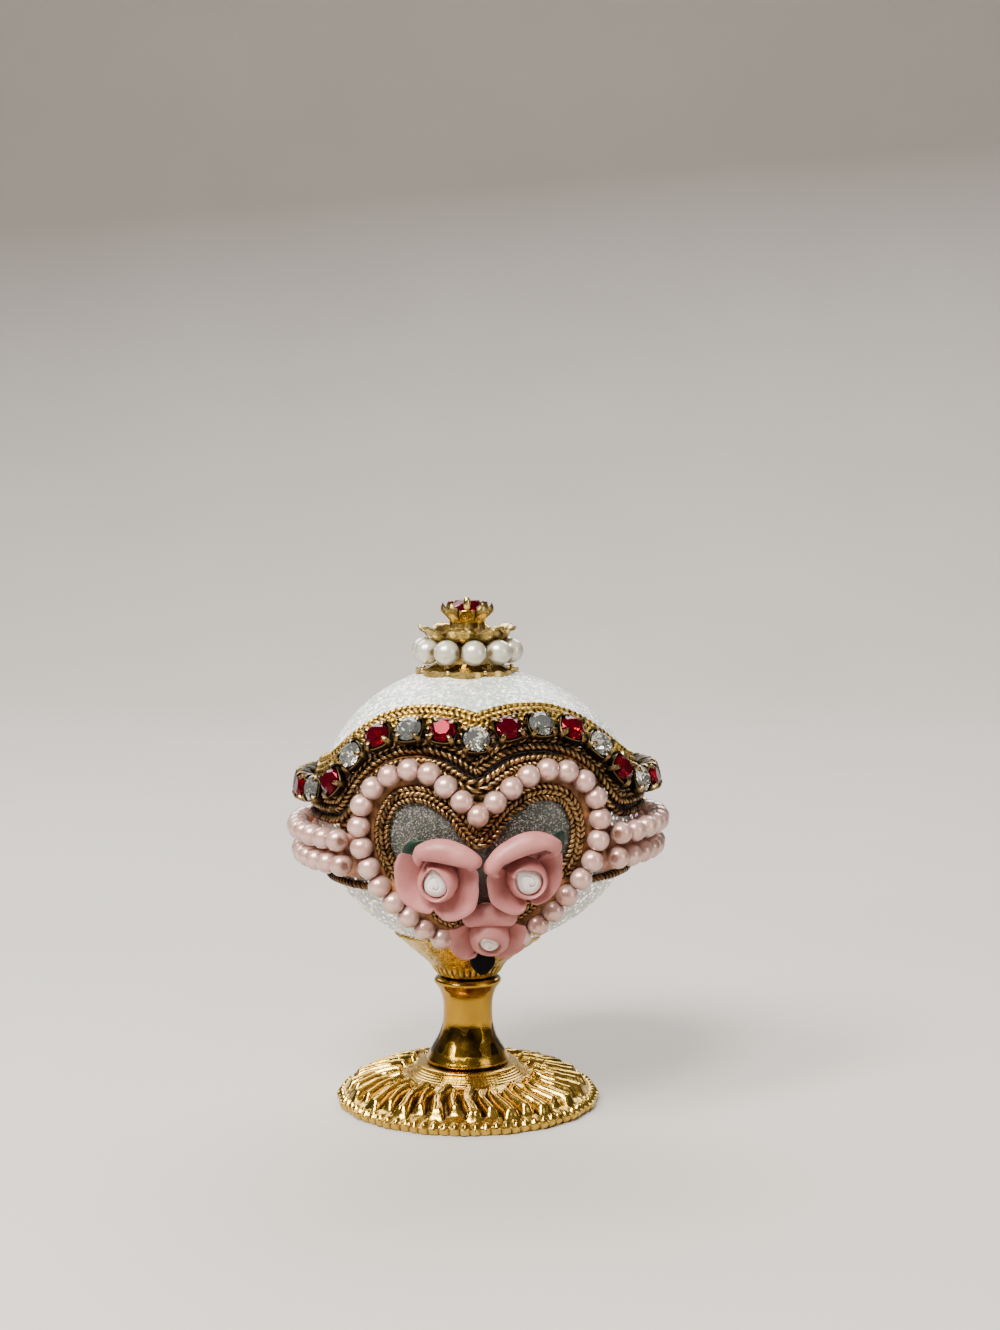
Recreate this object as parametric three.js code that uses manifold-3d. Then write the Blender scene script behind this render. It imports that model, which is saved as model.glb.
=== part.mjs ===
// An egg-shaped trinket box: a real egg shell laid on its side on a gilt pedestal, cut into
// a base and a lift-off lid, and trimmed with cord, strung pearls, a rhinestone chain,
// three porcelain roses inside a pearl heart, and a small pearl crown on the lid.
// Millimetres, +Z up. The origin is the middle of the foot's underside, on the stem's axis.
// The heart faces -Y, and azimuths turn from it towards +X.

import * as THREE from 'three';
import { mergeVertices } from 'three/addons/utils/BufferGeometryUtils.js';
import Module from 'manifold-3d';

const wasm = await Module();
wasm.setup();

// The egg: a blunt end at -X, a longer end at +X. The trims turn about the line x = FRONT_X.
const EGG = { middle: 33.9, round: 16.1, bluntEnd: 17.0, longEnd: 19.4, wall: 1.0 };
const FRONT_X = 1.2;
const LID_GAP = 0.2;
const TOUCH = 0.12;

// The opening, the chain and the braid ride up over the heart: height at each azimuth.
// Each ring tips a little, higher at the right, by `tip` at each side, and all of them lean
// to the right: their rises are up to LEAN degrees further round than they are at the left.
const LEAN = 3.3;
const OPENING = {
  tip: 0.35,
  stops: [[0, 39.2], [7, 40.15], [14, 41.05], [22, 41.4], [29, 41.35], [36, 40.95], [42, 40.1],
    [47, 38.85], [51, 37.2], [54.5, 35.6], [58.5, 34.8], [64, 34.6], [180, 34.6]],
};
const CHAIN_LINE = {
  tip: 0.45,
  stops: [[0, 43.15], [7, 43.7], [14, 44.15], [21, 44.3], [28, 44.25], [35, 44.05], [41.5, 43.5],
    [47, 42.55], [52.5, 40.9], [57, 38.7], [62, 37.7], [70, 37.45], [82, 37.2], [180, 37.1]],
};
const BRAID_LINE = {
  tip: 0.2,
  stops: [[0, 44.4], [7, 44.8], [14, 45.1], [24, 45.3], [34, 45.25], [42, 44.95], [49, 44.35],
    [56, 43.3], [62, 41.9], [68, 40.4], [76, 39.1], [90, 38.4], [180, 38.2]],
};

// Strung pearls, pressed-on cords and the cup chain.
const PEARL = { radius: 1.25, heartHeight: 1.4, rowHeight: 2.4, thread: 0.42 };
const CORD = { width: 0.85, height: 0.85 };
const BRAID = { width: 2.9, height: 0.8 };
const CHAIN = { stones: 32, back: 1.0, cupTop: 2.15, cup: 3.2, link: 1.1, linkTop: 1.6, step: 0.1,
  height: 1.8 };
const STONE = { radius: 1.42, table: 0.85, top: 3.05 };

// The pearl rows and the cord under them run round the back between the heart's sides.
const ROWS = { startAzimuth: 47.7, upper: 32.4, lower: 29.65, tip: 0.4 };
const BACKING = { startAzimuth: 50, low: 27.85, high: 33.0, height: 1.05 };
const LOWER_CORD = { startAzimuth: 47, z: 27.25 };

// The heart: the strung line's pearl centres and the braid inside it, as seen from the front.
const HEART = [[1.4, 35.5], [-1.3, 37.9], [-4.4, 40.0], [-7.7, 39.6], [-10.6, 37.2], [-11.5, 33.2],
  [-10.1, 28.6], [-7.2, 24.8], [-3.2, 21.4], [1.6, 19.9], [6.9, 22.0], [10.7, 25.7], [13.8, 30.2],
  [14.5, 34.6], [13.2, 38.2], [10.1, 40.0], [7.0, 39.6], [4.0, 37.6]];
const HEART_PEARLS = 34;
const INNER_BRAID = [[1.45, 32.7], [-1.6, 35.9], [-4.7, 37.4], [-7.4, 36.7], [-8.8, 33.6],
  [-8.2, 30.2], [-5.9, 26.9], [-2.4, 23.9], [1.6, 22.6], [5.4, 24.2], [9.0, 27.3], [11.4, 30.6],
  [11.75, 34.2], [10.4, 36.9], [7.5, 37.5], [4.6, 36.0]];
const INNER_BRAID_WIDTH = 1.65;

// The pedestal, as radius and height pairs from the axis outwards.
// Each of the foot's fluted rings also has its share of the relief and of the swirl.
const FOOT = { radius: 15.1, flutes: 40, relief: 0.42, scallop: 0.3, swirl: 9, rimZ: 0.95, under: 14.0,
  fluted: [[13.6, 1.65, 0.8, 0.2], [10.9, 2.35, 1, 1], [8.4, 2.9, 0.9, 0.4]],
  collar: [[6.9, 3.2], [6.0, 3.9], [5.85, 4.35]], top: 4.4, shortFlute: 0.55 };
const STEM_PROFILE = [[0, 4.55], [4.7, 4.55], [4.75, 4.85], [4.4, 5.6], [3.35, 7.4], [2.85, 9.2],
  [2.85, 11.4], [3.25, 12.9], [3.85, 13.7], [3.8, 14.1], [3.3, 14.4], [0, 14.4]];
const CUP = { bottom: 14.5, rim: 8.15, outside: [[3.2, 14.5], [3.95, 15.2], [4.7, 16.35],
  [6.4, 17.5], [7.7, 18.35], [8.35, 18.85]], clear: 0.2 };

// The crown on the lid, on the stem's axis.
const CROWN = { cap: 5.85, capTop: 50.15, boss: 3.15, bossTop: 52.4, pearl: 1.45, pearlRing: 5.0,
  pearlZ: 51.72, pearls: 10, firstPearl: 9.5, petals: 8, petalTurn: -11.5 };
const CROWN_BOWL = { foot: 2.9, seat: 2.7, seatZ: 53.2, notch: 4.55, notchZ: 53.75, tip: 5.65,
  tipZ: 54.5, belly: 4.0, bellyZ: 53.0 };
const SETTING = { foot: 2.3, bottom: 53.35, neck: 2.35, neckTop: 55.3, flare: 3.05, flareZ: 56.15,
  seat: 2.1, seatZ: 56.25, prong: 2.55, prongZ: 57.05, frontProngZ: 58.05 };
const CROWN_STONE = { radius: 1.95, bottom: 56.38, table: 1.25, top: 57.4 };

// The roses: where each bud's middle shows, how far its axis turns and dips, and its petals.
// The bud stands `depth` off the skin, and its foot reaches on past the skin's own point.
// A petal's edge is a list of turns about the axis with its reach at each. It rises above the
// bud's middle, and a rolled petal's lip comes back over the bud to `lip` from the axis.
const ROSES = {
  rose_left: {
    bud: [-2.95, 28.9], depth: 4.1, reach: 0.12, turn: -12, dip: -10,
    petals: [
      { edge: [[138, 4.8], [180, 4.55], [222, 4.35], [262, 3.7]], rise: 0.2 },
      { edge: [[264, 3.3], [292, 4.65], [325, 5.0], [360, 4.6], [382, 4.9]], rise: 0.5 },
      { edge: [[26, 5.1], [58, 4.7], [88, 4.3], [124, 3.7]], rise: 0.4, lip: 2.3 },
    ],
  },
  rose_right: {
    bud: [6.45, 29.0], depth: 4.1, reach: 0.12, turn: 13, dip: -8,
    petals: [
      { edge: [[163, 4.35], [192, 4.3], [214, 4.45], [251, 4.0], [270, 3.4]], rise: 0.5 },
      { edge: [[284, 3.1], [318, 3.6], [355, 3.9], [402, 4.7]], rise: 0.2 },
      { edge: [[52, 4.85], [85, 4.9], [118, 4.5], [158, 4.5]], rise: 0.4, lip: 2.4 },
    ],
  },
  rose_bottom: {
    bud: [2.45, 22.2], depth: 3.9, reach: -0.35, turn: 3, dip: -36,
    petals: [
      { edge: [[155, 4.5], [178, 4.0], [204, 4.2], [228, 4.1], [243, 3.2]], rise: 0.5 },
      { edge: [[290, 3.0], [304, 3.75], [330, 4.15], [353, 3.9], [386, 4.3]], rise: 0.3 },
      { edge: [[42, 3.5], [92, 3.4], [136, 3.2]], rise: -0.9 },
    ],
  },
};
const PETAL = { root: 0.9, rootDepth: 1.9, thick: 0.6, overlap: 1.12, lipRise: 1.1, lipThick: 0.7 };
const BUD = { radius: 2.05, top: 1.9, foot: 1.6 };
const LEAVES = {
  leaf_left: { at: [-4.9, -17.15, 31.95], turn: -16, dip: -4, spin: 27, length: 3.9, width: 2.2 },
  leaf_right: { at: [9.25, -16.4, 32.2], turn: 30, dip: -4, spin: 50, length: 3.9, width: 2.3 },
  leaf_bottom: { at: [1.8, -14.1, 19.2], turn: 2, dip: -14, spin: 270, length: 3.4, width: 2.7 },
};
const LEAF_THICK = 0.5;

const SEGMENTS = 18;
const TINY = 1e-4;
const radians = THREE.MathUtils.degToRad;
const vec = (x, y, z) => new THREE.Vector3(x, y, z);
const plus = (point, ...moves) =>
  moves.reduce((sum, [direction, by]) => sum.addScaledVector(direction, by), point.clone());

// How far a ray from the trims' line goes before it leaves the egg grown by `grow`. `share` is
// 1 for a ray from the egg's middle, and less for a level ray in a higher or lower slice.
function eggReach(dx, dy, dz, share = 1, grow = 0) {
  const b = EGG.round + grow;
  const meet = (end) => {
    const a = end + grow;
    const square = (dx / a) ** 2 + (dy / b) ** 2 + (dz / b) ** 2;
    const half = FRONT_X * dx / a ** 2;
    const rest = (FRONT_X / a) ** 2 - share;
    return (Math.sqrt(half * half - square * rest) - half) / square;
  };
  const reach = meet(EGG.longEnd);
  return FRONT_X + reach * dx < 0 ? meet(EGG.bluntEnd) : reach;
}

function eggAlong(direction, grow = 0) {
  const { x, y, z } = direction;
  const reach = eggReach(x, y, z, 1, grow);
  return vec(FRONT_X + reach * x, reach * y, EGG.middle + reach * z);
}

function eggAt(azimuth, z, grow = 0) {
  const share = 1 - ((z - EGG.middle) / (EGG.round + grow)) ** 2;
  const reach = eggReach(Math.sin(azimuth), -Math.cos(azimuth), 0, share, grow);
  return vec(FRONT_X + reach * Math.sin(azimuth), -reach * Math.cos(azimuth), z);
}

function eggFront(x, z, grow = 0) {
  const a = (x < 0 ? EGG.bluntEnd : EGG.longEnd) + grow;
  const b = EGG.round + grow;
  return vec(x, -b * Math.sqrt(1 - (x / a) ** 2 - ((z - EGG.middle) / b) ** 2), z);
}

function eggNormal(point) {
  const a = point.x < 0 ? EGG.bluntEnd : EGG.longEnd;
  const b = EGG.round;
  return vec(point.x / a ** 2, point.y / b ** 2, (point.z - EGG.middle) / b ** 2).normalize();
}

// The place at `height` above the egg's skin over or under a given point.
function onEgg(point, height = 0) {
  const middle = vec(FRONT_X, 0, EGG.middle);
  const foot = eggAlong(point.clone().sub(middle).normalize());
  return foot.addScaledVector(eggNormal(foot), height);
}

const compass = (azimuth, elevation) => vec(
  Math.cos(elevation) * Math.sin(azimuth),
  -Math.cos(elevation) * Math.cos(azimuth),
  Math.sin(elevation));

// A smooth line through the stops that never overshoots them, level at both ends.
function smoothLine(stops) {
  const slope = (k) => (stops[k + 1][1] - stops[k][1]) / (stops[k + 1][0] - stops[k][0]);
  const tangents = stops.map((_, k) => {
    if (k === 0 || k === stops.length - 1) return 0;
    const [before, after] = [slope(k - 1), slope(k)];
    return before * after <= 0 ? 0 : 2 * before * after / (before + after);
  });
  return (at) => {
    let k = 0;
    while (k < stops.length - 2 && at > stops[k + 1][0]) k++;
    const run = stops[k + 1][0] - stops[k][0];
    const u = (at - stops[k][0]) / run;
    return stops[k][1] * (2 * u ** 3 - 3 * u ** 2 + 1) + tangents[k] * run * (u ** 3 - 2 * u ** 2 + u)
      + stops[k + 1][1] * (3 * u ** 2 - 2 * u ** 3) + tangents[k + 1] * run * (u ** 3 - u ** 2);
  };
}

// A line drawn on the egg, given by its place at each turn from 0 to 1.
class Route {
  constructor(place, weight = () => 1) {
    const steps = 1440;
    this.place = place;
    this.marks = [0];
    for (let i = 1; i <= steps; i++) {
      const step = place(i / steps).distanceTo(place((i - 1) / steps));
      this.marks.push(this.marks[i - 1] + step * weight((i - 0.5) / steps));
    }
  }

  // The turn that lies a share of the way along.
  turn(share) {
    const goal = share * this.marks.at(-1);
    let k = 1;
    while (k < this.marks.length - 1 && this.marks[k] < goal) k++;
    const part = (goal - this.marks[k - 1]) / (this.marks[k] - this.marks[k - 1]);
    return (k - 1 + part) / (this.marks.length - 1);
  }

  // Axes at a turn: along the line, up from the egg, and to the line's left.
  frame(turn) {
    const at = this.place(turn);
    const along = this.place(turn + TINY).sub(this.place(turn - TINY)).normalize();
    const up = eggNormal(at);
    return { at, along, up, side: vec(0, 0, 0).crossVectors(up, along) };
  }

  frames(count, closed = true) {
    const last = closed ? count : count - 1;
    return Array.from({ length: count }, (_, i) => this.frame(this.turn(i / last)));
  }
}

const signedDegrees = (turn) => THREE.MathUtils.euclideanModulo(turn * 360 + 180, 360) - 180;
const lean = (degrees) => LEAN * Math.sin(radians(degrees)) ** 2;

function ringRoute({ stops, tip }, grow = 0, weight) {
  const line = smoothLine(stops);
  return new Route((turn) => {
    const degrees = signedDegrees(turn);
    const azimuth = radians(degrees);
    return eggAt(azimuth, line(Math.abs(degrees - lean(degrees))) + tip * Math.sin(azimuth), grow);
  }, weight);
}

// An open line round the back, from `startAzimuth` at the right to the same at the left.
function backRoute(startAzimuth, z, grow = 0) {
  return new Route((turn) => {
    const degrees = startAzimuth + turn * (360 - 2 * startAzimuth);
    const azimuth = radians(degrees + lean(degrees));
    return eggAt(azimuth, z + ROWS.tip * Math.sin(azimuth), grow);
  });
}

function heartRoute(points, grow) {
  const flat = points.map(([x, z]) => vec(x, 0, z));
  const curve = new THREE.CatmullRomCurve3(flat, true, 'centripetal');
  return new Route((turn) => {
    const { x, z } = curve.getPoint(THREE.MathUtils.euclideanModulo(turn, 1));
    return eggFront(x, z, grow);
  });
}

function geometryOf(points, faces) {
  const geometry = new THREE.BufferGeometry().setFromPoints(points);
  geometry.setIndex(faces.flat());
  return geometry;
}

function volumeOf(points, faces) {
  return faces.reduce((sum, [a, b, c]) =>
    sum + points[a].dot(vec(0, 0, 0).crossVectors(points[b], points[c])), 0);
}

// A skin over a list of rings of points. A ring of one point is a pole, a ring may have half
// as many points as its neighbour, and a closed list joins its last ring to its first.
function skin(rings, closed = false) {
  const points = rings.flat();
  const starts = rings.map((_, k) => rings.slice(0, k).reduce((sum, ring) => sum + ring.length, 0));
  const faces = [];
  for (let k = closed ? 0 : 1; k < rings.length; k++) {
    const before = (k + rings.length - 1) % rings.length;
    const [a, b] = [rings[before].length, rings[k].length];
    const steps = Math.max(a, b);
    const corner = (start, count, i) => start + Math.floor(i * count / steps) % count;
    for (let i = 0; i < steps; i++) {
      const [a0, a1] = [corner(starts[before], a, i), corner(starts[before], a, i + 1)];
      const [b0, b1] = [corner(starts[k], b, i), corner(starts[k], b, i + 1)];
      if (a0 !== a1) faces.push([a0, a1, b0]);
      if (b0 !== b1) faces.push([a1, b1, b0]);
    }
  }
  const out = volumeOf(points, faces) > 0;
  return geometryOf(points, out ? faces : faces.map(([a, b, c]) => [a, c, b]));
}

const middleOf = (ring) => ring.reduce((sum, p) => sum.add(p), vec(0, 0, 0)).divideScalar(ring.length);
const capped = (rings) => [[middleOf(rings[0])], ...rings, [middleOf(rings.at(-1))]];
const everySecond = (ring) => ring.filter((_, i) => i % 2 === 0);

function circle(radius, z, count, height = () => 0) {
  return Array.from({ length: count }, (_, i) => {
    const angle = 2 * Math.PI * i / count;
    const [r, rise] = [typeof radius === 'function' ? radius(angle, i) : radius, height(angle, i)];
    return vec(r * Math.sin(angle), -r * Math.cos(angle), z + rise);
  });
}

const turned = (profile, segments = SEGMENTS) => skin(profile.map(([r, z]) =>
  (r === 0 ? [vec(0, 0, z)] : circle(r, z, segments))));

function toManifold(geometry) {
  const merged = mergeVertices(geometry);
  return new wasm.Manifold(new wasm.Mesh({
    numProp: 3,
    vertProperties: new Float32Array(merged.attributes.position.array),
    triVerts: new Uint32Array(merged.index.array),
  }));
}

function joined(geometries) {
  const whole = geometries.map(toManifold).reduce((sum, solid) => sum.add(solid));
  const { vertProperties, triVerts } = whole.getMesh();
  const geometry = new THREE.BufferGeometry();
  geometry.setAttribute('position', new THREE.BufferAttribute(vertProperties, 3));
  geometry.setIndex(new THREE.BufferAttribute(triVerts, 1));
  return geometry;
}

// A flat band that hugs the egg, between two distances to the line's left.
function band(frames, from, to, height, closed = true) {
  const bevel = 0.14 * (to - from);
  const section = [[from, TOUCH], [from + bevel, height], [to - bevel, height], [to, TOUCH]];
  if (to - from > 3) section.push([(from + to) / 2, TOUCH]);
  const rings = frames.map(({ at, side }) => section.map(([s, h]) => onEgg(plus(at, [side, s]), h)));
  return skin(closed ? rings : capped(rings), closed);
}

// Round beads on a thread, the first one at the start of a closed line.
function beads(route, count, radius, sides, closed = true) {
  const shoulder = 0.45 * radius;
  const drum = 0.97 * radius;
  const length = route.marks.at(-1);
  const ringAt = (distance, size) => {
    const share = closed ? THREE.MathUtils.euclideanModulo(distance / length, 1) : distance / length;
    const { at, up, side } = route.frame(route.turn(share));
    return Array.from({ length: sides }, (_, i) => {
      const angle = 2 * Math.PI * (i + 0.5) / sides;
      return plus(at, [side, size * Math.cos(angle)], [up, size * Math.sin(angle)]);
    });
  };
  const pitch = length / count;
  const rings = [];
  for (let i = 0; i < count; i++) {
    const middle = (closed ? i : i + 0.5) * pitch;
    rings.push(ringAt(middle - pitch / 2, PEARL.thread));
    rings.push(ringAt(middle - shoulder, drum));
    rings.push(ringAt(middle + shoulder, drum));
  }
  if (closed) return skin(rings, true);
  rings.push(ringAt(length - TINY, PEARL.thread));
  return skin(capped(rings));
}

const group = new THREE.Group();

function piece(name, geometry, colour, roughness, metalness) {
  const material = new THREE.MeshStandardMaterial({ color: colour, roughness, metalness });
  const mesh = new THREE.Mesh(geometry, material);
  mesh.name = name;
  group.add(mesh);
}

const gilt = (name, geometry) => piece(name, geometry, 0xc99a3a, 0.25, 1);
const antique = (name, geometry) => piece(name, geometry, 0x8a6a2c, 0.4, 1);
const shellWhite = (name, geometry) => piece(name, geometry, 0xe9ece6, 0.6, 0);
const pinkPearl = (name, geometry) => piece(name, geometry, 0xe9c3bb, 0.3, 0);

// The foot: S-curved flutes, long and short by turns, from the collar down to a scalloped rim.
function footSolid() {
  const columns = 2 * FOOT.flutes;
  const crest = (i) => (i % 4 === 0 ? 1 : FOOT.shortFlute);
  const ridge = (i) => (i % 2 === 0 ? crest(i) : -1) * FOOT.relief;
  const fluted = ([radius, z, depth, swirl]) => circle(radius, z, columns, (_, i) => depth * ridge(i))
    .map((p) => p.applyAxisAngle(vec(0, 0, 1), radians(swirl * FOOT.swirl)));
  const scalloped = (_, i) => FOOT.radius - (i % 2 ? FOOT.scallop : 0);
  return skin([
    [vec(0, 0, 0)],
    circle(FOOT.under, 0, FOOT.flutes),
    circle(scalloped, FOOT.rimZ, columns),
    ...FOOT.fluted.map(fluted),
    ...FOOT.collar.map(([radius, z]) => circle(radius, z, FOOT.flutes)),
    [vec(0, 0, FOOT.top)],
  ]);
}

// The cup that the egg lies in: its inside follows the egg's underside.
function cupSolid() {
  const under = (r) => EGG.middle - EGG.round * Math.sqrt(1 - (r / EGG.longEnd) ** 2) - CUP.clear;
  const inside = [1, 0.62, 0].map((share) => [share * CUP.rim, under(share * CUP.rim)]);
  return turned([[0, CUP.bottom], ...CUP.outside, ...inside]);
}

// Both halves of the shell share these columns, closer together over the heart.
const COLUMNS = 36;
const frontWeight = (turn) => (Math.abs(signedDegrees(turn)) < 66 ? 2.1 : 1);
const openingRoute = ringRoute(OPENING, 0, frontWeight);
const openingFrames = openingRoute.frames(COLUMNS);

function shellSolid(pole) {
  const middle = vec(FRONT_X, 0, EGG.middle);
  const edges = openingFrames.map(({ at, side }) => {
    const ray = plus(at, [side, pole * LID_GAP / 2]).sub(middle).normalize();
    return { azimuth: Math.atan2(ray.x, -ray.y), elevation: Math.asin(ray.z) };
  });
  const ring = (share, grow) => edges.map(({ azimuth, elevation }) =>
    eggAlong(compass(azimuth, elevation + (pole * Math.PI / 2 - elevation) * share), grow));
  const top = (grow) => [eggAlong(vec(0, 0, pole), grow)];
  const outside = [0, 0.2, 0.4, 0.6].map((share) => ring(share, 0));
  const inside = [0.55, 0.27, 0].map((share) => ring(share, -EGG.wall));
  return skin([top(0), everySecond(ring(0.8, 0)), ...outside.reverse(), ...inside.reverse(),
    everySecond(ring(0.8, -EGG.wall)), top(-EGG.wall)]);
}

// The rhinestone chain: square cups with a narrow link between each two.
const chainRoute = ringRoute(CHAIN_LINE, CHAIN.height);
const chainFrames = chainRoute.frames(CHAIN.stones);

function chainSolid() {
  const rings = chainFrames.flatMap(({ at, along, up, side }) => {
    const section = (distance, half, top) => [[-half, CHAIN.back], [-half, top], [half, top],
      [half, CHAIN.back]].map(([s, h]) => plus(at, [along, distance], [side, s],
      [up, h - CHAIN.height]));
    const cupEnd = CHAIN.cup / 2;
    return [
      section(-cupEnd - CHAIN.step, CHAIN.link / 2, CHAIN.linkTop),
      section(-cupEnd, CHAIN.cup / 2, CHAIN.cupTop),
      section(cupEnd, CHAIN.cup / 2, CHAIN.cupTop),
      section(cupEnd + CHAIN.step, CHAIN.link / 2, CHAIN.linkTop),
    ];
  });
  return skin(rings, true);
}

function gem(at, axes, radius, table, low, high, sides = 5) {
  const [right, back, up] = axes;
  const round = (r, h) => Array.from({ length: sides }, (_, i) => {
    const angle = 2 * Math.PI * i / sides;
    return plus(at, [right, r * Math.cos(angle)], [back, r * Math.sin(angle)], [up, h]);
  });
  return skin(capped([round(radius, low), round(table, high)]));
}

function chainStones() {
  for (const [i, { at, along, up, side }] of chainFrames.entries()) {
    const [low, high] = [CHAIN.cupTop + TOUCH - CHAIN.height, STONE.top - CHAIN.height];
    const solid = gem(at, [along, side, up], STONE.radius, STONE.table, low, high);
    const red = i % 2 === 1;
    const number = String(i + 1).padStart(2, '0');
    piece(`stone_${red ? 'red' : 'clear'}_${number}`, solid, red ? 0x8a0d22 : 0xc9ccc8, 0.05, 0);
  }
}

// The value between the stops on either side of a turn.
function between(stops, turn) {
  const k = Math.max(1, stops.findIndex(([at]) => at >= turn));
  const [[from, low], [to, high]] = [stops[k - 1], stops[k]];
  return low + (high - low) * (turn - from) / (to - from);
}

// Where the roses' axes point, as right, up and forward directions.
function facing(turn, dip) {
  const forward = compass(radians(turn), radians(dip));
  const right = vec(Math.cos(radians(turn)), Math.sin(radians(turn)), 0);
  return { forward, right, upward: vec(0, 0, 0).crossVectors(forward, right) };
}

function roseSolid({ bud, depth, reach, turn, dip, petals }) {
  const { forward, right, upward } = facing(turn, dip);
  const skinPoint = eggFront(bud[0] - depth * forward.x, bud[1] - depth * forward.z);
  const heart = plus(skinPoint, [forward, depth]);
  const place = (radius, angle, ahead) => plus(heart,
    [right, radius * Math.cos(angle)], [upward, radius * Math.sin(angle)], [forward, ahead]);
  const round = (radius, ahead, count = 8) => (radius === 0 ? [place(0, 0, ahead)]
    : Array.from({ length: count }, (_, i) => place(radius, 2 * Math.PI * i / count, ahead)));

  const body = skin([[0, -reach - depth], [BUD.foot, -reach - depth], [BUD.foot, -PETAL.rootDepth],
    [BUD.radius, -0.6], [0.85 * BUD.radius, 0.9], [0.35 * BUD.radius, BUD.top], [0, BUD.top]]
    .map(([r, ahead]) => round(r, ahead)));

  const plates = petals.map(({ edge, rise, lip }) => {
    const [first, last] = [edge[0][0], edge.at(-1)[0]];
    const middle = (first + last) / 2;
    const across = [0, 0.25, 0.5, 0.75, 1].map((share) => first + share * (last - first));
    const petalPlace = (turn, v, reach, ahead) => place(PETAL.root + (reach - PETAL.root) * v,
      radians(middle + (turn - middle) * (v < 1 ? PETAL.overlap : 1)), ahead);
    if (lip) {
      const top = rise + PETAL.lipRise;
      return skin(capped(across.map((turn) => {
        const reach = between(edge, turn);
        const half = PETAL.lipThick / 2;
        return [petalPlace(turn, 0, reach, -PETAL.rootDepth), petalPlace(turn, 1, reach - 0.2, rise - half),
          petalPlace(turn, 1, reach, rise + half), petalPlace(turn, 1, (reach + lip) / 2, top + half),
          petalPlace(turn, 1, lip, top), petalPlace(turn, 1, lip + 0.4, top - 1.4 * half)];
      })));
    }
    const ahead = (v) => (rise + PETAL.rootDepth) * v ** 1.4 - PETAL.rootDepth;
    return skin(capped(across.map((turn) => {
      const sheet = (thick) => [0, 0.6, 1].map((v) =>
        petalPlace(turn, v, between(edge, turn), ahead(v) - thick));
      return [...sheet(0), ...sheet(PETAL.thick).reverse()];
    })));
  });
  return joined([body, ...plates]);
}

function leafSolid({ at, turn, dip, spin, length, width }) {
  const { forward, right } = facing(turn, dip);
  const along = right.clone().applyAxisAngle(forward, radians(spin));
  const across = vec(0, 0, 0).crossVectors(forward, along);
  const place = (share, s, h) => plus(vec(...at), [along, share * length], [across, s * width],
    [forward, h - 0.9 * share ** 2]);
  const cut = (share, half) => [[-half, 0.25], [0, LEAF_THICK], [half, 0.25], [0, 0]]
    .map(([s, h]) => place(share, s, h));
  const tip = (share) => [place(share, 0, 0.25)];
  return skin([tip(-0.5), cut(-0.25, 0.42), cut(0.1, 0.5), cut(0.35, 0.25), tip(0.5)]);
}

// The stamped cap under the crown's pearls: scalloped, hugging the egg, with a boss inside.
function crownBase() {
  const columns = 4 * CROWN.petals;
  const wave = (angle) => Math.cos(CROWN.petals * angle);
  const skinTop = (p) => {
    const a = p.x < 0 ? EGG.bluntEnd : EGG.longEnd;
    const share = 1 - (p.x / a) ** 2 - (p.y / EGG.round) ** 2;
    return vec(p.x, p.y, EGG.middle + EGG.round * Math.sqrt(share) + TOUCH);
  };
  const edge = (angle) => CROWN.cap * (0.98 + 0.02 * wave(angle));
  const under = circle(edge, 0, columns).map(skinTop);
  return skin([
    [skinTop(vec(0, 0, 0))],
    circle(0.5 * CROWN.cap, 0, columns / 2).map(skinTop),
    under,
    under.map((p) => plus(p, [vec(0, 0, 1), 0.45])),
    circle(0.9 * CROWN.cap, CROWN.capTop, columns),
    circle(CROWN.boss, CROWN.capTop, columns / 2),
    circle(CROWN.boss, CROWN.bossTop, columns / 2),
    [vec(0, 0, CROWN.bossTop)],
  ]);
}

function crownPearls() {
  const start = radians(CROWN.firstPearl);
  const ring = new Route((turn) => {
    const angle = start + 2 * Math.PI * turn;
    return vec(CROWN.pearlRing * Math.sin(angle), -CROWN.pearlRing * Math.cos(angle), CROWN.pearlZ);
  });
  const outward = (at) => vec(at.x, at.y, 0).normalize();
  ring.frame = (turn) => {
    const at = ring.place(turn);
    return { at, up: outward(at), side: vec(0, 0, 1) };
  };
  return beads(ring, CROWN.pearls, CROWN.pearl, 5);
}

// Eight scalloped petals that open upwards like a shallow bowl.
function crownPetals() {
  const columns = 4 * CROWN.petals;
  const { foot, seat, seatZ, notch, notchZ, tip, tipZ, belly, bellyZ } = CROWN_BOWL;
  const lobe = (angle) => Math.abs(Math.cos(CROWN.petals / 2 * (angle - radians(CROWN.petalTurn))));
  const bowl = (low, lowZ, high, highZ) => circle((angle) => low + (high - low) * lobe(angle),
    lowZ, columns, (angle) => (highZ - lowZ) * lobe(angle));
  return skin([
    [vec(0, 0, CROWN.bossTop + TOUCH)],
    circle(foot, CROWN.bossTop + TOUCH, columns / 2),
    bowl(belly, bellyZ, belly + 0.6, bellyZ + 0.3),
    bowl(notch, notchZ, tip, tipZ),
    bowl(notch - 0.45, notchZ + 0.02, tip - 0.5, tipZ - 0.05),
    circle(seat, seatZ, columns / 2),
    [vec(0, 0, seatZ)],
  ]);
}

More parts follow.
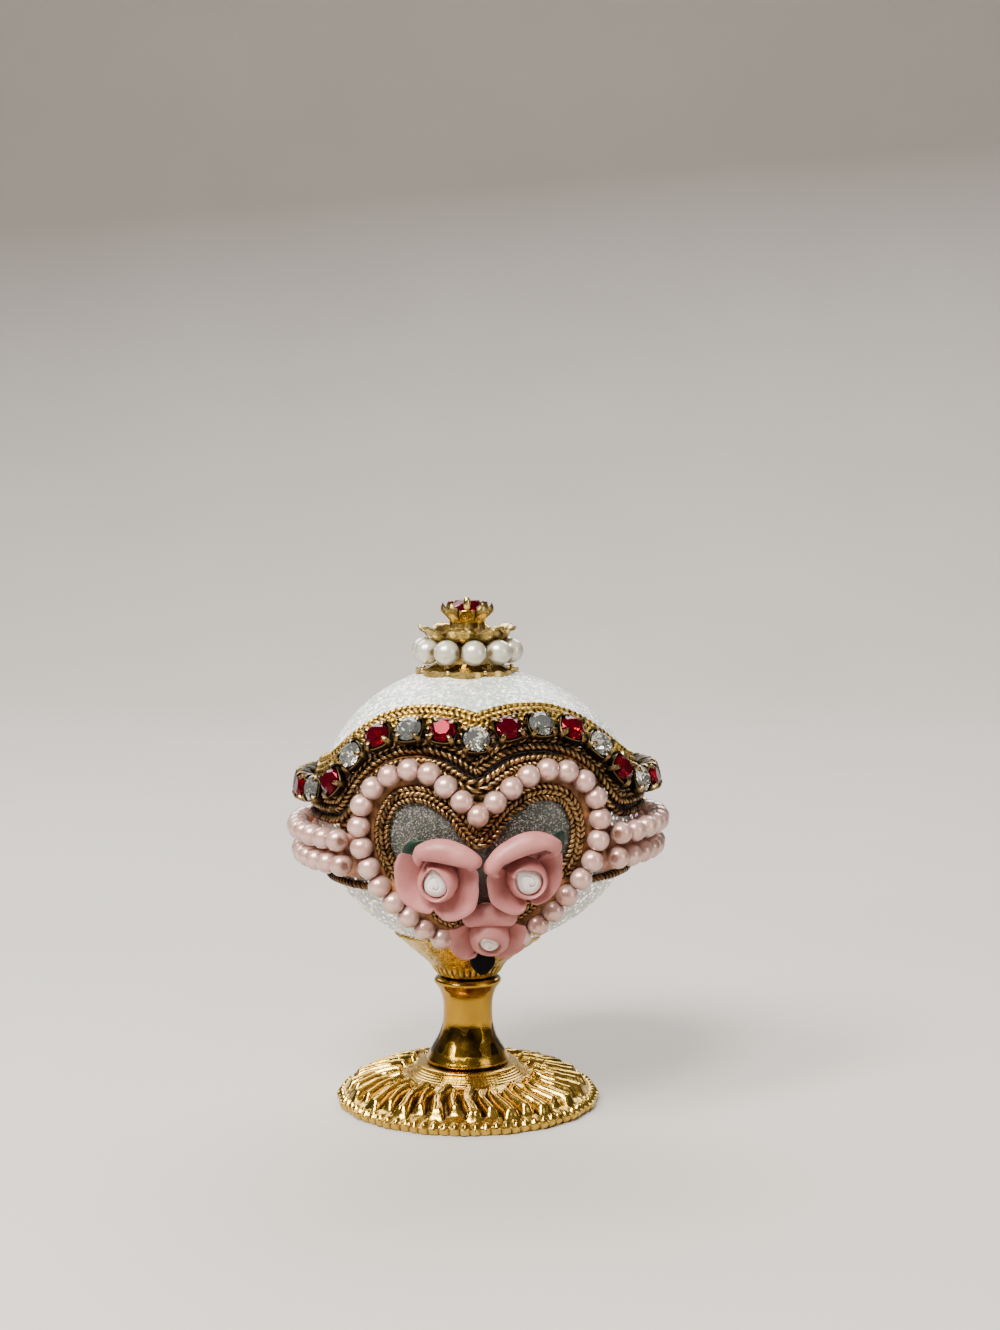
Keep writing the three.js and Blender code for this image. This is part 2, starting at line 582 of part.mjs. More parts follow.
// The claw setting of the top stone: eight flared claws, the front one bent up tallest.
function crownSetting() {
  const claws = 8;
  const isClaw = (i) => i % 2 === 0;
  const flare = (_, i) => (isClaw(i) ? SETTING.flare : 0.82 * SETTING.flare);
  const seat = (_, i) => (isClaw(i) ? SETTING.prong : SETTING.seat);
  const clawRise = (_, i) => {
    if (!isClaw(i)) return 0;
    return (i === 0 ? SETTING.frontProngZ : SETTING.prongZ) - SETTING.seatZ;
  };
  return skin([
    [vec(0, 0, SETTING.bottom)],
    circle(SETTING.foot, SETTING.bottom, 2 * claws),
    circle(SETTING.neck, SETTING.neckTop, 2 * claws),
    circle(flare, SETTING.flareZ, 2 * claws, (_, i) => (isClaw(i) ? 0.2 : -0.5)),
    circle(seat, SETTING.seatZ, 2 * claws, clawRise),
    circle(SETTING.seat - 0.1, SETTING.seatZ - 0.02, 2 * claws),
    [vec(0, 0, SETTING.seatZ - 0.02)],
  ]);
}

gilt('foot', footSolid());
gilt('stem', turned(STEM_PROFILE));
gilt('cup', cupSolid());
shellWhite('shell_base', shellSolid(-1));
shellWhite('shell_lid', shellSolid(1));

const CORD_GAP = LID_GAP / 2 + 0.05;
antique('lid_rim_cord', band(openingFrames, CORD_GAP, CORD_GAP + 2 * CORD.width, CORD.height));
antique('base_rim_cord', band(openingFrames, -CORD_GAP - CORD.width, -CORD_GAP, CORD.height));
const braidFrames = ringRoute(BRAID_LINE, 0, frontWeight).frames(COLUMNS);
antique('lid_upper_braid', band(braidFrames, -BRAID.width / 2, BRAID.width / 2, BRAID.height));
antique('rhinestone_chain', chainSolid());
chainStones();

const lowerCordFrames = backRoute(LOWER_CORD.startAzimuth, LOWER_CORD.z).frames(20, false);
antique('base_lower_cord', band(lowerCordFrames, -CORD.width / 2, CORD.width / 2, CORD.height, false));
const backingFrames = backRoute(BACKING.startAzimuth, (BACKING.low + BACKING.high) / 2)
  .frames(22, false);
const backingHalf = (BACKING.high - BACKING.low) / 2;
piece('pearl_backing', band(backingFrames, -backingHalf, backingHalf, BACKING.height, false),
  0xd9a98f, 0.6, 0);
for (const row of ['upper', 'lower']) {
  const route = backRoute(ROWS.startAzimuth, ROWS[row], PEARL.rowHeight);
  const count = Math.round(route.marks.at(-1) / (2 * PEARL.radius));
  pinkPearl(`pearl_row_${row}`, beads(route, count, PEARL.radius, 4, false));
}

pinkPearl('heart_pearls', beads(heartRoute(HEART, PEARL.heartHeight), HEART_PEARLS, PEARL.radius, 4));
const innerFrames = heartRoute(INNER_BRAID, 0).frames(32);
antique('heart_inner_braid',
  band(innerFrames, -INNER_BRAID_WIDTH / 2, INNER_BRAID_WIDTH / 2, CORD.height));
for (const [name, rose] of Object.entries(ROSES)) piece(name, roseSolid(rose), 0xd79a9c, 0.35, 0);
for (const [name, leaf] of Object.entries(LEAVES)) {
  piece(name, leafSolid(leaf), name === 'leaf_bottom' ? 0x0d0f14 : 0x1f5a3a, 0.35, 0);
}

gilt('crown_base', crownBase());
piece('crown_pearls', crownPearls(), 0xe6e2d6, 0.25, 0);
gilt('crown_petals', crownPetals());
gilt('crown_setting', crownSetting());
const crownAxes = [vec(1, 0, 0), vec(0, 1, 0), vec(0, 0, 1)];
piece('crown_stone', gem(vec(0, 0, 0), crownAxes, CROWN_STONE.radius, CROWN_STONE.table,
  CROWN_STONE.bottom, CROWN_STONE.top, 8), 0xa01028, 0.05, 0);

export default group;
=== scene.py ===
"""The looks of the egg-shaped trinket box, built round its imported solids.

Lengths in the script are millimetres until a mesh is made. The frame is the solids' own:
+Z up, the heart faces -Y, and azimuths turn from it towards +X.
"""

import math

import bmesh
import bpy
import numpy as np
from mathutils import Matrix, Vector, noise


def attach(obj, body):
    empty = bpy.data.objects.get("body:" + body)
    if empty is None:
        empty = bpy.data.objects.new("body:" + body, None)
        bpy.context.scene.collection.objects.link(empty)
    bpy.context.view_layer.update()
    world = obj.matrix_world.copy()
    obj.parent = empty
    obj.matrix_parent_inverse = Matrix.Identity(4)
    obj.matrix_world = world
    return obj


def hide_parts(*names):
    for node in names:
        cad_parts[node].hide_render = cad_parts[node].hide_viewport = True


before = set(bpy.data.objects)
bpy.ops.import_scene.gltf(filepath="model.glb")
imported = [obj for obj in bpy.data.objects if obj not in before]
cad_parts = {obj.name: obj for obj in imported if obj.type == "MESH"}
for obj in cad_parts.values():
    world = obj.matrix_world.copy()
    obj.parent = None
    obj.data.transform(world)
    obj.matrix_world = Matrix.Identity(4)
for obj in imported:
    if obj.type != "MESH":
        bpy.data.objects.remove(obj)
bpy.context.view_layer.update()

MM = 0.001
TURN = 2 * math.pi
X_AXIS, Y_AXIS, Z_AXIS = np.eye(3)

# The egg, and the line x = FRONT_X that its trims turn about.
EGG_Z, EGG_ROUND, EGG_BLUNT, EGG_LONG, EGG_WALL = 33.9, 16.1, 17.0, 19.4, 1.0
FRONT_X = 1.2
TRIM_CENTRE = np.array([FRONT_X, 0, EGG_Z])
LID_GAP = 0.2
# All rings lean to the right by up to this many degrees.
LEAN = 3.3

# Heights of the trims at each azimuth, with how far each ring tips up at the right.
OPENING = (0.35, [(0, 39.2), (7, 40.15), (14, 41.05), (22, 41.4), (29, 41.35), (36, 40.95),
                  (42, 40.1), (47, 38.85), (51, 37.2), (54.5, 35.6), (58.5, 34.8), (64, 34.6),
                  (180, 34.6)])
CHAIN_LINE = (0.45, [(0, 43.15), (7, 43.7), (14, 44.15), (21, 44.3), (28, 44.25), (35, 44.05),
                     (41.5, 43.5), (47, 42.55), (52.5, 40.9), (57, 38.7), (62, 37.7),
                     (70, 37.45), (82, 37.2), (180, 37.1)])
BRAID_LINE = (0.2, [(0, 44.4), (7, 44.8), (14, 45.1), (24, 45.3), (34, 45.25), (42, 44.95),
                    (49, 44.35), (56, 43.3), (62, 41.9), (68, 40.4), (76, 39.1), (90, 38.4),
                    (180, 38.2)])
PEARL_R, HEART_HEIGHT, ROW_HEIGHT = 1.25, 1.4, 2.4
ROW_START, ROW_TIP = 47.7, 0.4
ROW_Z = {"upper": 32.4, "lower": 29.65}
CHAIN_HEIGHT, STONES = 1.8, 32
LINK_R, LINK_HEIGHT, LINK_APART = 0.3, 1.4, 0.42
STONE = dict(radius=1.44, girdle=2.38, top=2.98, bottom=1.35)
CROWN_STONE = dict(radius=2.2, girdle=56.45, top=57.38, bottom=55.4, table=0.6)
# Each cord's radius, how high its middle lies over the egg, and the step between its rows.
RIM_CORD_R, RIM_CORD_HEIGHT = 0.43, 0.46
BRAID_R, BRAID_HEIGHT, BRAID_STEP = 0.39, 0.43, 0.71
HEART_CORD_R, HEART_CORD_HEIGHT, HEART_CORD_STEP, HEART_CORD_PITCH = 0.35, 0.42, 0.62, 1.15
LOWER_CORD_R, LOWER_CORD_Z, LOWER_CORD_START = 0.46, 27.25, 47
HEART = [(1.4, 35.5), (-1.3, 37.9), (-4.4, 40.0), (-7.7, 39.6), (-10.6, 37.2), (-11.5, 33.2),
         (-10.1, 28.6), (-7.2, 24.8), (-3.2, 21.4), (1.6, 19.9), (6.9, 22.0), (10.7, 25.7),
         (13.8, 30.2), (14.5, 34.6), (13.2, 38.2), (10.1, 40.0), (7.0, 39.6), (4.0, 37.6)]
HEART_PEARLS = 34
INNER_BRAID = [(1.45, 32.7), (-1.6, 35.9), (-4.7, 37.4), (-7.4, 36.7), (-8.8, 33.6),
               (-8.2, 30.2), (-5.9, 26.9), (-2.4, 23.9), (1.6, 22.6), (5.4, 24.2), (9.0, 27.3),
               (11.4, 30.6), (11.75, 34.2), (10.4, 36.9), (7.5, 37.5), (4.6, 36.0)]


def stack(x, y, z):
    return np.stack(np.broadcast_arrays(x, y, z), axis=-1).astype(float)


def polar(r, azimuth, z):
    return stack(r * np.sin(azimuth), -r * np.cos(azimuth), z)


def compass(azimuth, elevation):
    return polar(np.cos(elevation), azimuth, np.sin(elevation))


def reach_out(origin, axes, *amounts):
    """Points that lie some way from an origin along each of its axes."""
    for axis, amount in zip(axes, np.broadcast_arrays(*amounts)):
        origin = origin + axis * amount[..., None]
    return origin


def unit(v):
    return v / np.linalg.norm(v, axis=-1, keepdims=True)


def circle(count):
    """A row of angles, once round."""
    return np.linspace(0, TURN, count, endpoint=False)[None, :]


def smoothstep(low, high, x):
    t = np.clip((x - low) / (high - low), 0, 1)
    return t * t * (3 - 2 * t)


def unlike(index, seed):
    """A value from 0 to 1 for each whole number, each unlike the next."""
    return np.mod(np.sin(index * 12.9898 + seed) * 43758.5453, 1)


# The egg's surface

def half_length(x):
    """The egg's half length on the side of x: its two ends differ."""
    return np.where(np.asarray(x) < 0, EGG_BLUNT, EGG_LONG)


def egg_reach(dx, dy, dz, share=1.0, grow=0.0):
    """How far a ray from the trims' line goes before it leaves the egg grown by `grow`."""
    b = EGG_ROUND + grow

    def meet(end):
        a = end + grow
        square = (dx / a) ** 2 + (dy / b) ** 2 + (dz / b) ** 2
        half = FRONT_X * dx / a ** 2
        rest = (FRONT_X / a) ** 2 - share
        return (np.sqrt(np.maximum(half * half - square * rest, 0)) - half) / square

    far = meet(EGG_LONG)
    return np.where(FRONT_X + far * dx < 0, meet(EGG_BLUNT), far)


def egg_along(direction, grow=0.0):
    far = egg_reach(*np.moveaxis(direction, -1, 0), 1.0, grow)
    return TRIM_CENTRE + far[..., None] * direction


def egg_at(azimuth, z, grow=0.0):
    share = 1 - ((z - EGG_Z) / (EGG_ROUND + grow)) ** 2
    far = egg_reach(np.sin(azimuth), -np.cos(azimuth), 0 * azimuth, share, grow)
    return polar(far, azimuth, z) + FRONT_X * X_AXIS


def egg_front(x, z, grow=0.0):
    a, b = half_length(x) + grow, EGG_ROUND + grow
    share = 1 - (np.asarray(x) / a) ** 2 - ((np.asarray(z) - EGG_Z) / b) ** 2
    return stack(x, -b * np.sqrt(np.maximum(share, 0.01)), z)


def egg_rise(r, azimuth):
    """How far the egg goes up and down from its middle, away from the upright axis."""
    x, y, _ = np.moveaxis(polar(r, azimuth, 0), -1, 0)
    return EGG_ROUND * np.sqrt(1 - (x / half_length(x)) ** 2 - (y / EGG_ROUND) ** 2)


def egg_normal(p):
    x, y, z = np.moveaxis(p, -1, 0)
    return unit(stack(x / half_length(x) ** 2, y / EGG_ROUND ** 2,
                      (z - EGG_Z) / EGG_ROUND ** 2))


def on_egg(p, height=0.0):
    foot = egg_along(unit(p - TRIM_CENTRE))
    return foot + egg_normal(foot) * np.asarray(height)[..., None]


# Lines drawn on the egg

def smooth_line(stops):
    """A smooth line through the stops that never overshoots, level at both ends."""
    at, value = np.array(stops, float).T
    slope = np.diff(value) / np.diff(at)
    tangent = np.zeros(len(at))
    for k in range(1, len(at) - 1):
        if slope[k - 1] * slope[k] > 0:
            tangent[k] = 2 * slope[k - 1] * slope[k] / (slope[k - 1] + slope[k])

    def line(x):
        k = np.clip(np.searchsorted(at, x, side="right") - 1, 0, len(at) - 2)
        run = at[k + 1] - at[k]
        u = (x - at[k]) / run
        return (value[k] * (2 * u ** 3 - 3 * u ** 2 + 1)
                + tangent[k] * run * (u ** 3 - 2 * u ** 2 + u)
                + value[k + 1] * (3 * u ** 2 - 2 * u ** 3)
                + tangent[k + 1] * run * (u ** 3 - u ** 2))
    return line


class Route:
    """A line on the egg, measured along its length."""

    def __init__(self, place, samples=2881):
        self.place = place
        self.turns = np.linspace(0, 1, samples)
        points = place(self.turns)
        steps = np.linalg.norm(np.diff(points, axis=0), axis=1)
        self.marks = np.concatenate([[0], np.cumsum(steps)])
        self.length = self.marks[-1]

    def frames(self, distance):
        """Place, along, up and left axes at distances along the line."""
        turn = np.interp(distance, self.marks, self.turns)
        step = 2e-4
        at = self.place(turn)
        along = unit(self.place(turn + step) - self.place(turn - step))
        up = egg_normal(at)
        return at, along, up, unit(np.cross(up, along))

    def spaced(self, count, closed=True):
        return self.frames(np.linspace(0, self.length, count, endpoint=not closed))


def lean(degrees):
    return LEAN * np.sin(np.radians(degrees)) ** 2


def ring_level(line, degrees):
    """How high a ring lies at azimuths in degrees from -180 to 180."""
    tip, stops = line
    return (smooth_line(stops)(np.abs(degrees - lean(degrees)))
            + tip * np.sin(np.radians(degrees)))


def ring_route(line, grow=0.0):
    def place(turn):
        degrees = np.mod(turn * 360 + 180, 360) - 180
        return egg_at(np.radians(degrees), ring_level(line, degrees), grow)
    return Route(place)


def back_route(start, z, grow=0.0):
    def place(turn):
        degrees = start + turn * (360 - 2 * start)
        azimuth = np.radians(degrees + lean(degrees))
        return egg_at(azimuth, z + ROW_TIP * np.sin(azimuth), grow)
    return Route(place)


def heart_route(points, grow):
    """A closed centripetal spline through points that are given as seen from the front."""
    flat = np.array(points, float)
    count = len(flat)

    def place(turn):
        spot = np.mod(turn, 1) * count
        k = np.floor(spot).astype(int) % count
        u = (spot - np.floor(spot))[..., None]
        p = [flat[(k + shift) % count] for shift in (-1, 0, 1, 2)]
        d = [np.sqrt(np.linalg.norm(p[i + 1] - p[i], axis=-1))[..., None] for i in range(3)]
        enter = ((p[1] - p[0]) / d[0] - (p[2] - p[0]) / (d[0] + d[1]) + (p[2] - p[1]) / d[1])
        leave = ((p[2] - p[1]) / d[1] - (p[3] - p[1]) / (d[1] + d[2]) + (p[3] - p[2]) / d[2])
        enter, leave = enter * d[1], leave * d[1]
        xz = (p[1] + enter * u + (3 * (p[2] - p[1]) - 2 * enter - leave) * u ** 2
              + (2 * (p[1] - p[2]) + enter + leave) * u ** 3)
        return egg_front(xz[..., 0], xz[..., 1], grow)
    return Route(place)


# Meshes

# Points nearer than WELD, in metres, are joined. TINY keeps a division from being by zero.
WELD, TINY = 1e-7, 1e-9


def wobble(p, scale, seed=0.0):
    """Smooth noise from -1 to 1 at points in millimetres; `scale` is the lump size."""
    flat = np.asarray(p, float).reshape(-1, 3) / scale + seed
    values = [noise.noise(tuple(q)) for q in flat]
    return np.array(values).reshape(np.shape(p)[:-1])


class Shape:
    """Gathers points, faces and a per-point `hollow` value for one mesh. Most materials read
    `hollow` as painted shade, the stem also as painted reflection, and porcelain as the white of
    the buds and its paler veins.
    """

    def __init__(self):
        self.points, self.faces, self.hollow, self.paint = [], [], [], []
        self.count = 0

    def add(self, points, faces, hollow=0.0, paint=0):
        points = np.asarray(points, float).reshape(-1, 3)
        self.points.append(points)
        self.hollow.append(np.broadcast_to(np.asarray(hollow, float).reshape(-1), len(points)))
        self.faces += [[i + self.count for i in face] for face in faces]
        self.paint += [paint] * len(faces)
        self.count += len(points)

    def grid(self, points, loop_rows=False, loop_columns=True, hollow=0.0, paint=0, caps=False):
        """A sheet or tube over a grid of points; caps close a tube's two ends."""
        rows, columns = points.shape[:2]
        r = np.arange(rows if loop_rows else rows - 1)[:, None]
        c = np.arange(columns if loop_columns else columns - 1)[None, :]
        after, right = (r + 1) % rows, (c + 1) % columns
        quads = np.stack(np.broadcast_arrays(
            r * columns + c, r * columns + right, after * columns + right, after * columns + c),
            axis=-1).reshape(-1, 4).tolist()
        flat = points.reshape(-1, 3)
        hollow = np.broadcast_to(hollow, points.shape[:2]).reshape(-1)
        if caps:
            ends = [points[0].mean(0), points[-1].mean(0)]
            flat = np.concatenate([flat, ends])
            hollow = np.concatenate([hollow, [0, 0]])
            base = rows * columns
            last = (rows - 1) * columns
            quads += [[base, (i + 1) % columns, i] for i in range(columns)]
            quads += [[base + 1, last + i, last + (i + 1) % columns] for i in range(columns)]
        self.add(flat, quads, hollow, paint)

    def skin(self, rings, paint=0):
        """A closed skin over rings of points, where a ring may be a single pole."""
        faces = []
        starts = np.cumsum([0] + [len(ring) for ring in rings])
        for k in range(1, len(rings)):
            a, b = len(rings[k - 1]), len(rings[k])
            steps = max(a, b)
            for i in range(steps):
                a0, a1 = [starts[k - 1] + (j * a // steps) % a for j in (i, i + 1)]
                b0, b1 = [starts[k] + (j * b // steps) % b for j in (i, i + 1)]
                if a0 != a1:
                    faces.append([a0, a1, b0])
                if b0 != b1:
                    faces.append([a1, b1, b0])
        self.add(np.concatenate(rings), faces, paint=paint)

    def plate(self, points, thick, hollow=0.0):
        """A sheet of some thickness whose edges taper to the sheet's own border."""
        rows, columns = points.shape[:2]
        down, across = np.gradient(points, axis=(0, 1))
        u = np.linspace(-1, 1, columns)[None, :]
        v = np.linspace(-1, 1, rows)[:, None]
        edge = np.maximum(np.abs(u), np.abs(v))
        taper = np.sqrt(np.maximum(1 - edge ** 6, 0))[..., None]
        out = unit(np.cross(down, across) + TINY) * taper * thick / 2
        self.grid(points + out, False, False, hollow)
        self.grid((points - out)[:, ::-1], False, False,
                  np.broadcast_to(hollow, points.shape[:2])[:, ::-1])


def add_object(name, data):
    thing = bpy.data.objects.new(name, data)
    bpy.context.scene.collection.objects.link(thing)
    return thing


def piece(name, shape, materials, nodes, smooth=True, smooth_angle=None):
    """Makes the mesh, in metres, and stands it for its solids."""
    mesh = bpy.data.meshes.new(name)
    points = np.concatenate(shape.points) * MM
    mesh.from_pydata(points.tolist(), [], shape.faces)
    mesh.attributes.new("hollow", "FLOAT", "POINT").data.foreach_set(
        "value", np.concatenate(shape.hollow).astype(np.float32))
    for material in materials:
        mesh.materials.append(material)
    mesh.polygons.foreach_set("material_index", shape.paint)
    mesh.polygons.foreach_set("use_smooth", [smooth] * len(mesh.polygons))
    work = bmesh.new()
    work.from_mesh(mesh)
    bmesh.ops.remove_doubles(work, verts=work.verts, dist=WELD)
    bmesh.ops.recalc_face_normals(work, faces=work.faces)
    work.to_mesh(mesh)
    work.free()
    if smooth_angle:
        mesh.set_sharp_from_angle(angle=math.radians(smooth_angle))
    thing = add_object(name, mesh)
    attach(thing, "root")
    if nodes:
        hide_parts(*nodes)


# Materials

def srgb(code):
    """Linear colour from a web colour code."""
    parts = [int(code[i:i + 2], 16) / 255 for i in (1, 3, 5)]
    return tuple(c / 12.92 if c <= 0.04045 else ((c + 0.055) / 1.055) ** 2.4 for c in parts) + (1,)


class Paint:
    """A Principled material, with short helpers for the nodes that vary it."""

    def __init__(self, name, **values):
        self.material = bpy.data.materials.new(name)
        self.material.use_nodes = True
        self.tree = self.material.node_tree
        self.shader = self.tree.nodes["Principled BSDF"]
        for key, value in values.items():
            self.set(key.replace("_", " "), value)

    def feed(self, slot, value):
        """Gives a node's input a link, a colour code or a plain value."""
        if isinstance(value, bpy.types.NodeSocket):
            self.tree.links.new(value, slot)
        else:
            slot.default_value = srgb(value) if isinstance(value, str) else value

    def node(self, kind, inputs=None, **settings):
        made = self.tree.nodes.new("ShaderNode" + kind)
        for key, value in settings.items():
            setattr(made, key, value)
        for key, value in (inputs or {}).items():
            self.feed(made.inputs[key], value)
        return made

    def set(self, key, value):
        self.feed(self.shader.inputs[key], value)

    def place(self):
        return self.node("TexCoord").outputs["Object"]

    def noise(self, size, detail=3.0, rough=0.5):
        """Noise with lumps of about `size` millimetres."""
        return self.node("TexNoise", {"Vector": self.place(), "Scale": 1 / (size * MM),
                                      "Detail": detail, "Roughness": rough}).outputs["Fac"]

    def patches(self, size, low, high, detail=3.0):
        """Noise spread to run from 0 to 1."""
        return self.span(self.noise(size, detail), low, high, 0, 1)

    def cells(self, size):
        """A random colour for each cell of about `size` millimetres."""
        return self.node("TexVoronoi", {"Vector": self.place(),
                                        "Scale": 1 / (size * MM)}).outputs["Color"]

    def red(self, colour):
        return self.node("SeparateColor", {"Color": colour}).outputs["Red"]

    def ramp(self, value, stops):
        made = self.node("ValToRGB", {"Fac": value})
        ramp = made.color_ramp
        while len(ramp.elements) < len(stops):
            ramp.elements.new(0.5)
        for element, (spot, colour) in zip(ramp.elements, stops):
            element.position, element.color = spot, srgb(colour)
        return made.outputs["Color"]

    def span(self, value, low, high, to_low, to_high):
        return self.node("MapRange", {"Value": value, "From Min": low, "From Max": high,
                                      "To Min": to_low, "To Max": to_high}).outputs["Result"]

    def mix(self, share, first, second):
        """A colour mix: these are the numbers of the node's colour sockets."""
        return self.node("Mix", {0: share, 6: first, 7: second}, data_type="RGBA").outputs[2]

    def math(self, operation, first, second):
        return self.node("Math", {0: first, 1: second}, operation=operation).outputs[0]

    def vector(self, operation, inputs):
        return self.node("VectorMath", inputs, operation=operation).outputs[0]

    def hollow(self):
        return self.node("Attribute", attribute_name="hollow").outputs["Fac"]

    def bump(self, height, depth, **more):
        """Bump by `depth` millimetres."""
        inputs = {"Height": height, "Distance": depth * MM, "Strength": 1.0, **more}
        self.set("Normal", self.node("Bump", inputs).outputs["Normal"])


def metal(name, bright, mid, dark, rough, grain, depth, patch=0.6):
    """Metal that is bright on what stands proud and dark in its hollows: the dark there is painted
    shade, carried by `hollow`, which also makes the metal rougher.
    """
    paint = Paint(name, Metallic=1.0)
    tone = paint.mix(paint.noise(3.0), bright, mid)
    painted_shade = paint.span(paint.hollow(), 0.3, 0.8, 0.0, 0.97)
    patchy = paint.math("MULTIPLY", painted_shade, paint.span(paint.noise(1.1), 0.3, 0.6, patch, 1.0))
    paint.set("Base Color", paint.mix(patchy, tone, dark))
    speckle = paint.noise(grain, 4.0, 0.6)
    spread = paint.span(speckle, 0.3, 0.75, rough - 0.07, rough + 0.13)
    paint.set("Roughness", paint.math("ADD", spread, paint.math("MULTIPLY", painted_shade, 0.25)))
    paint.bump(speckle, depth)
    return paint.material


def glitter(name, base, flake, flake_size, sparkle, painted_glint, hue):
    """Flakes on a base: `sparkle` is their share, `painted_glint` how strongly the few brightest
    glow, as painted glints, and `hue` how much of its own colour each one shows. Where `hollow` is
    high, on the shell's cut edge, it is painted dark as the shade in the gap between lid and base,
    and does not glow."""
    paint = Paint(name, Coat_Weight=0.25, Coat_Roughness=0.2)
    flakes = paint.cells(flake_size)
    tint = paint.node("HueSaturation", {"Color": flakes, "Saturation": 0.55,
                                        "Value": 1.4}).outputs["Color"]
    pick = paint.red(flakes)
    is_flake = paint.math("GREATER_THAN", pick, 1 - sparkle)
    strewn = paint.mix(is_flake, base, paint.mix(hue, flake, tint))
    # Painted shade: the cut edge goes near black.
    paint.set("Base Color", paint.mix(paint.hollow(), strewn, "#1d0f05"))
    # Painted glints: the brightest flakes glow, except at the cut edge.
    spark = paint.math("GREATER_THAN", pick, 0.93)
    paint.set("Emission Color", tint)
    glow = paint.span(paint.hollow(), 0, 1, painted_glint, 0)
    paint.set("Emission Strength", paint.math("MULTIPLY", spark, glow))
    paint.set("Metallic", paint.math("MULTIPLY", is_flake, 0.15))
    paint.set("Roughness", paint.span(is_flake, 0, 1, 0.55, 0.25))
    normal = paint.node("NewGeometry").outputs["Normal"]
    tilt = paint.vector("SUBTRACT", {0: flakes, 1: (0.5, 0.5, 0.5)})
    tilt = paint.vector("SCALE", {0: tilt, "Scale": 0.6})
    tipped = paint.vector("NORMALIZE", {0: paint.vector("ADD", {0: normal, 1: tilt})})
    paint.bump(paint.noise(0.35, 4.0, 0.7), 0.08, Strength=0.8, Normal=tipped)
    return paint.material


def pearl(name, body, warm, shade, hole):
    """Nacre: a soft body under a clear gloss, a little warmer in patches."""
    paint = Paint(name, Roughness=0.3, Coat_Weight=1.0, Coat_Roughness=0.05, IOR=1.65,
                  Subsurface_Weight=0.05, Subsurface_Radius=(1.0, 0.6, 0.5), Metallic=0.38,
                  Subsurface_Scale=0.6 * MM, Sheen_Weight=0.15)
    tone = paint.mix(paint.patches(1.6, 0.35, 0.65), body, warm)
    # Painted shade: the body darkens towards `shade` near its outline as seen from the camera.
    rim = paint.node("LayerWeight", {"Blend": 0.35}).outputs["Facing"]
    rimmed = paint.mix(paint.span(rim, 0.15, 0.85, 0, 0.85), tone, shade)
    # Where `hollow` is high, in the drilled hole, the colour is `hole`: the thread and glue inside,
    # darkened as painted shade.
    paint.set("Base Color", paint.mix(paint.hollow(), rimmed, hole))
    paint.bump(paint.noise(0.5), 0.01)
    return paint.material


def cut_glass(name, colour, clearness, gleam):
    paint = Paint(name, Base_Color=colour, Roughness=0.02, IOR=1.58,
                  Transmission_Weight=clearness, Specular_Tint=gleam)
    paint.bump(paint.noise(0.8), 0.004)
    return paint.material


def foil(name, dark, middle, bright):
    """The mirror behind a stone, in flat patches from dark to bright: painted reflections that
    stand for the dark and bright facets of a cut stone.
    """
    paint = Paint(name, Metallic=1.0, Roughness=0.04)
    patch = paint.red(paint.cells(1.4))
    paint.set("Base Color", paint.ramp(patch, [(0.3, dark), (0.5, middle), (0.7, bright)]))
    return paint.material


def porcelain(name, body, deep, pale, shine):
    """Unglazed tinted porcelain, paler where `hollow` says so, as inside the buds."""
    paint = Paint(name, Roughness=0.42, Subsurface_Weight=0.06, Specular_IOR_Level=shine,
                  Subsurface_Radius=(1.0, 0.45, 0.4), Subsurface_Scale=0.5 * MM)
    tone = paint.mix(paint.patches(2.6, 0.3, 0.7, 4.0), body, deep)
    paint.set("Base Color", paint.mix(paint.span(paint.hollow(), 0.1, 0.9, 0, 1), tone, pale))
    paint.set("Roughness", paint.span(paint.noise(0.6, 5.0), 0.35, 0.7, 0.36, 0.52))
    paint.bump(paint.noise(0.25, 4.0, 0.6), 0.012)
    return paint.material


def ribbon(name, light, dark):
    paint = Paint(name, Roughness=0.7, Subsurface_Weight=0.1, Subsurface_Scale=0.5 * MM)
    paint.set("Base Color", paint.mix(paint.patches(0.9, 0.35, 0.65, 5.0), light, dark))
    paint.bump(paint.noise(0.3, 4.0, 0.7), 0.05)
    return paint.material


GILT = metal("gilt", "#dfb850", "#b08a38", "#241504", 0.15, 0.35, 0.02)
# The stem's gilt is darker than the foot's: painted reflection of dark surroundings.
GILT_STEM = metal("gilt_stem", "#bd9332", "#966e1e", "#080401", 0.15, 0.35, 0.02, 0.92)
GILT_PALE = metal("gilt_pale", "#efd487", "#cda850", "#3c260a", 0.16, 0.3, 0.02)
GILT_GRAIN = metal("gilt_grain", "#dcbc5c", "#aa8a3a", "#2f1a05", 0.24, 0.3, 0.06)
CHAIN_GOLD = metal("chain_gold", "#a98d5a", "#241a10", "#010101", 0.25, 0.4, 0.03, 0.9)
CORD_GOLD = metal("cord_gold", "#c59c66", "#33190f", "#060201", 0.27, 0.2, 0.03, 0.8)
DARK_CORD = metal("dark_cord", "#7d5a30", "#3a2210", "#080301", 0.35, 0.2, 0.03)
BRIGHT_CORD = metal("bright_cord", "#ecc561", "#9a6f2a", "#160b03", 0.26, 0.2, 0.03)
SHELL_WHITE = glitter("shell_white", "#a9b4aa", "#e2e9e2", 0.27, 0.45, 1.5, 0.4)
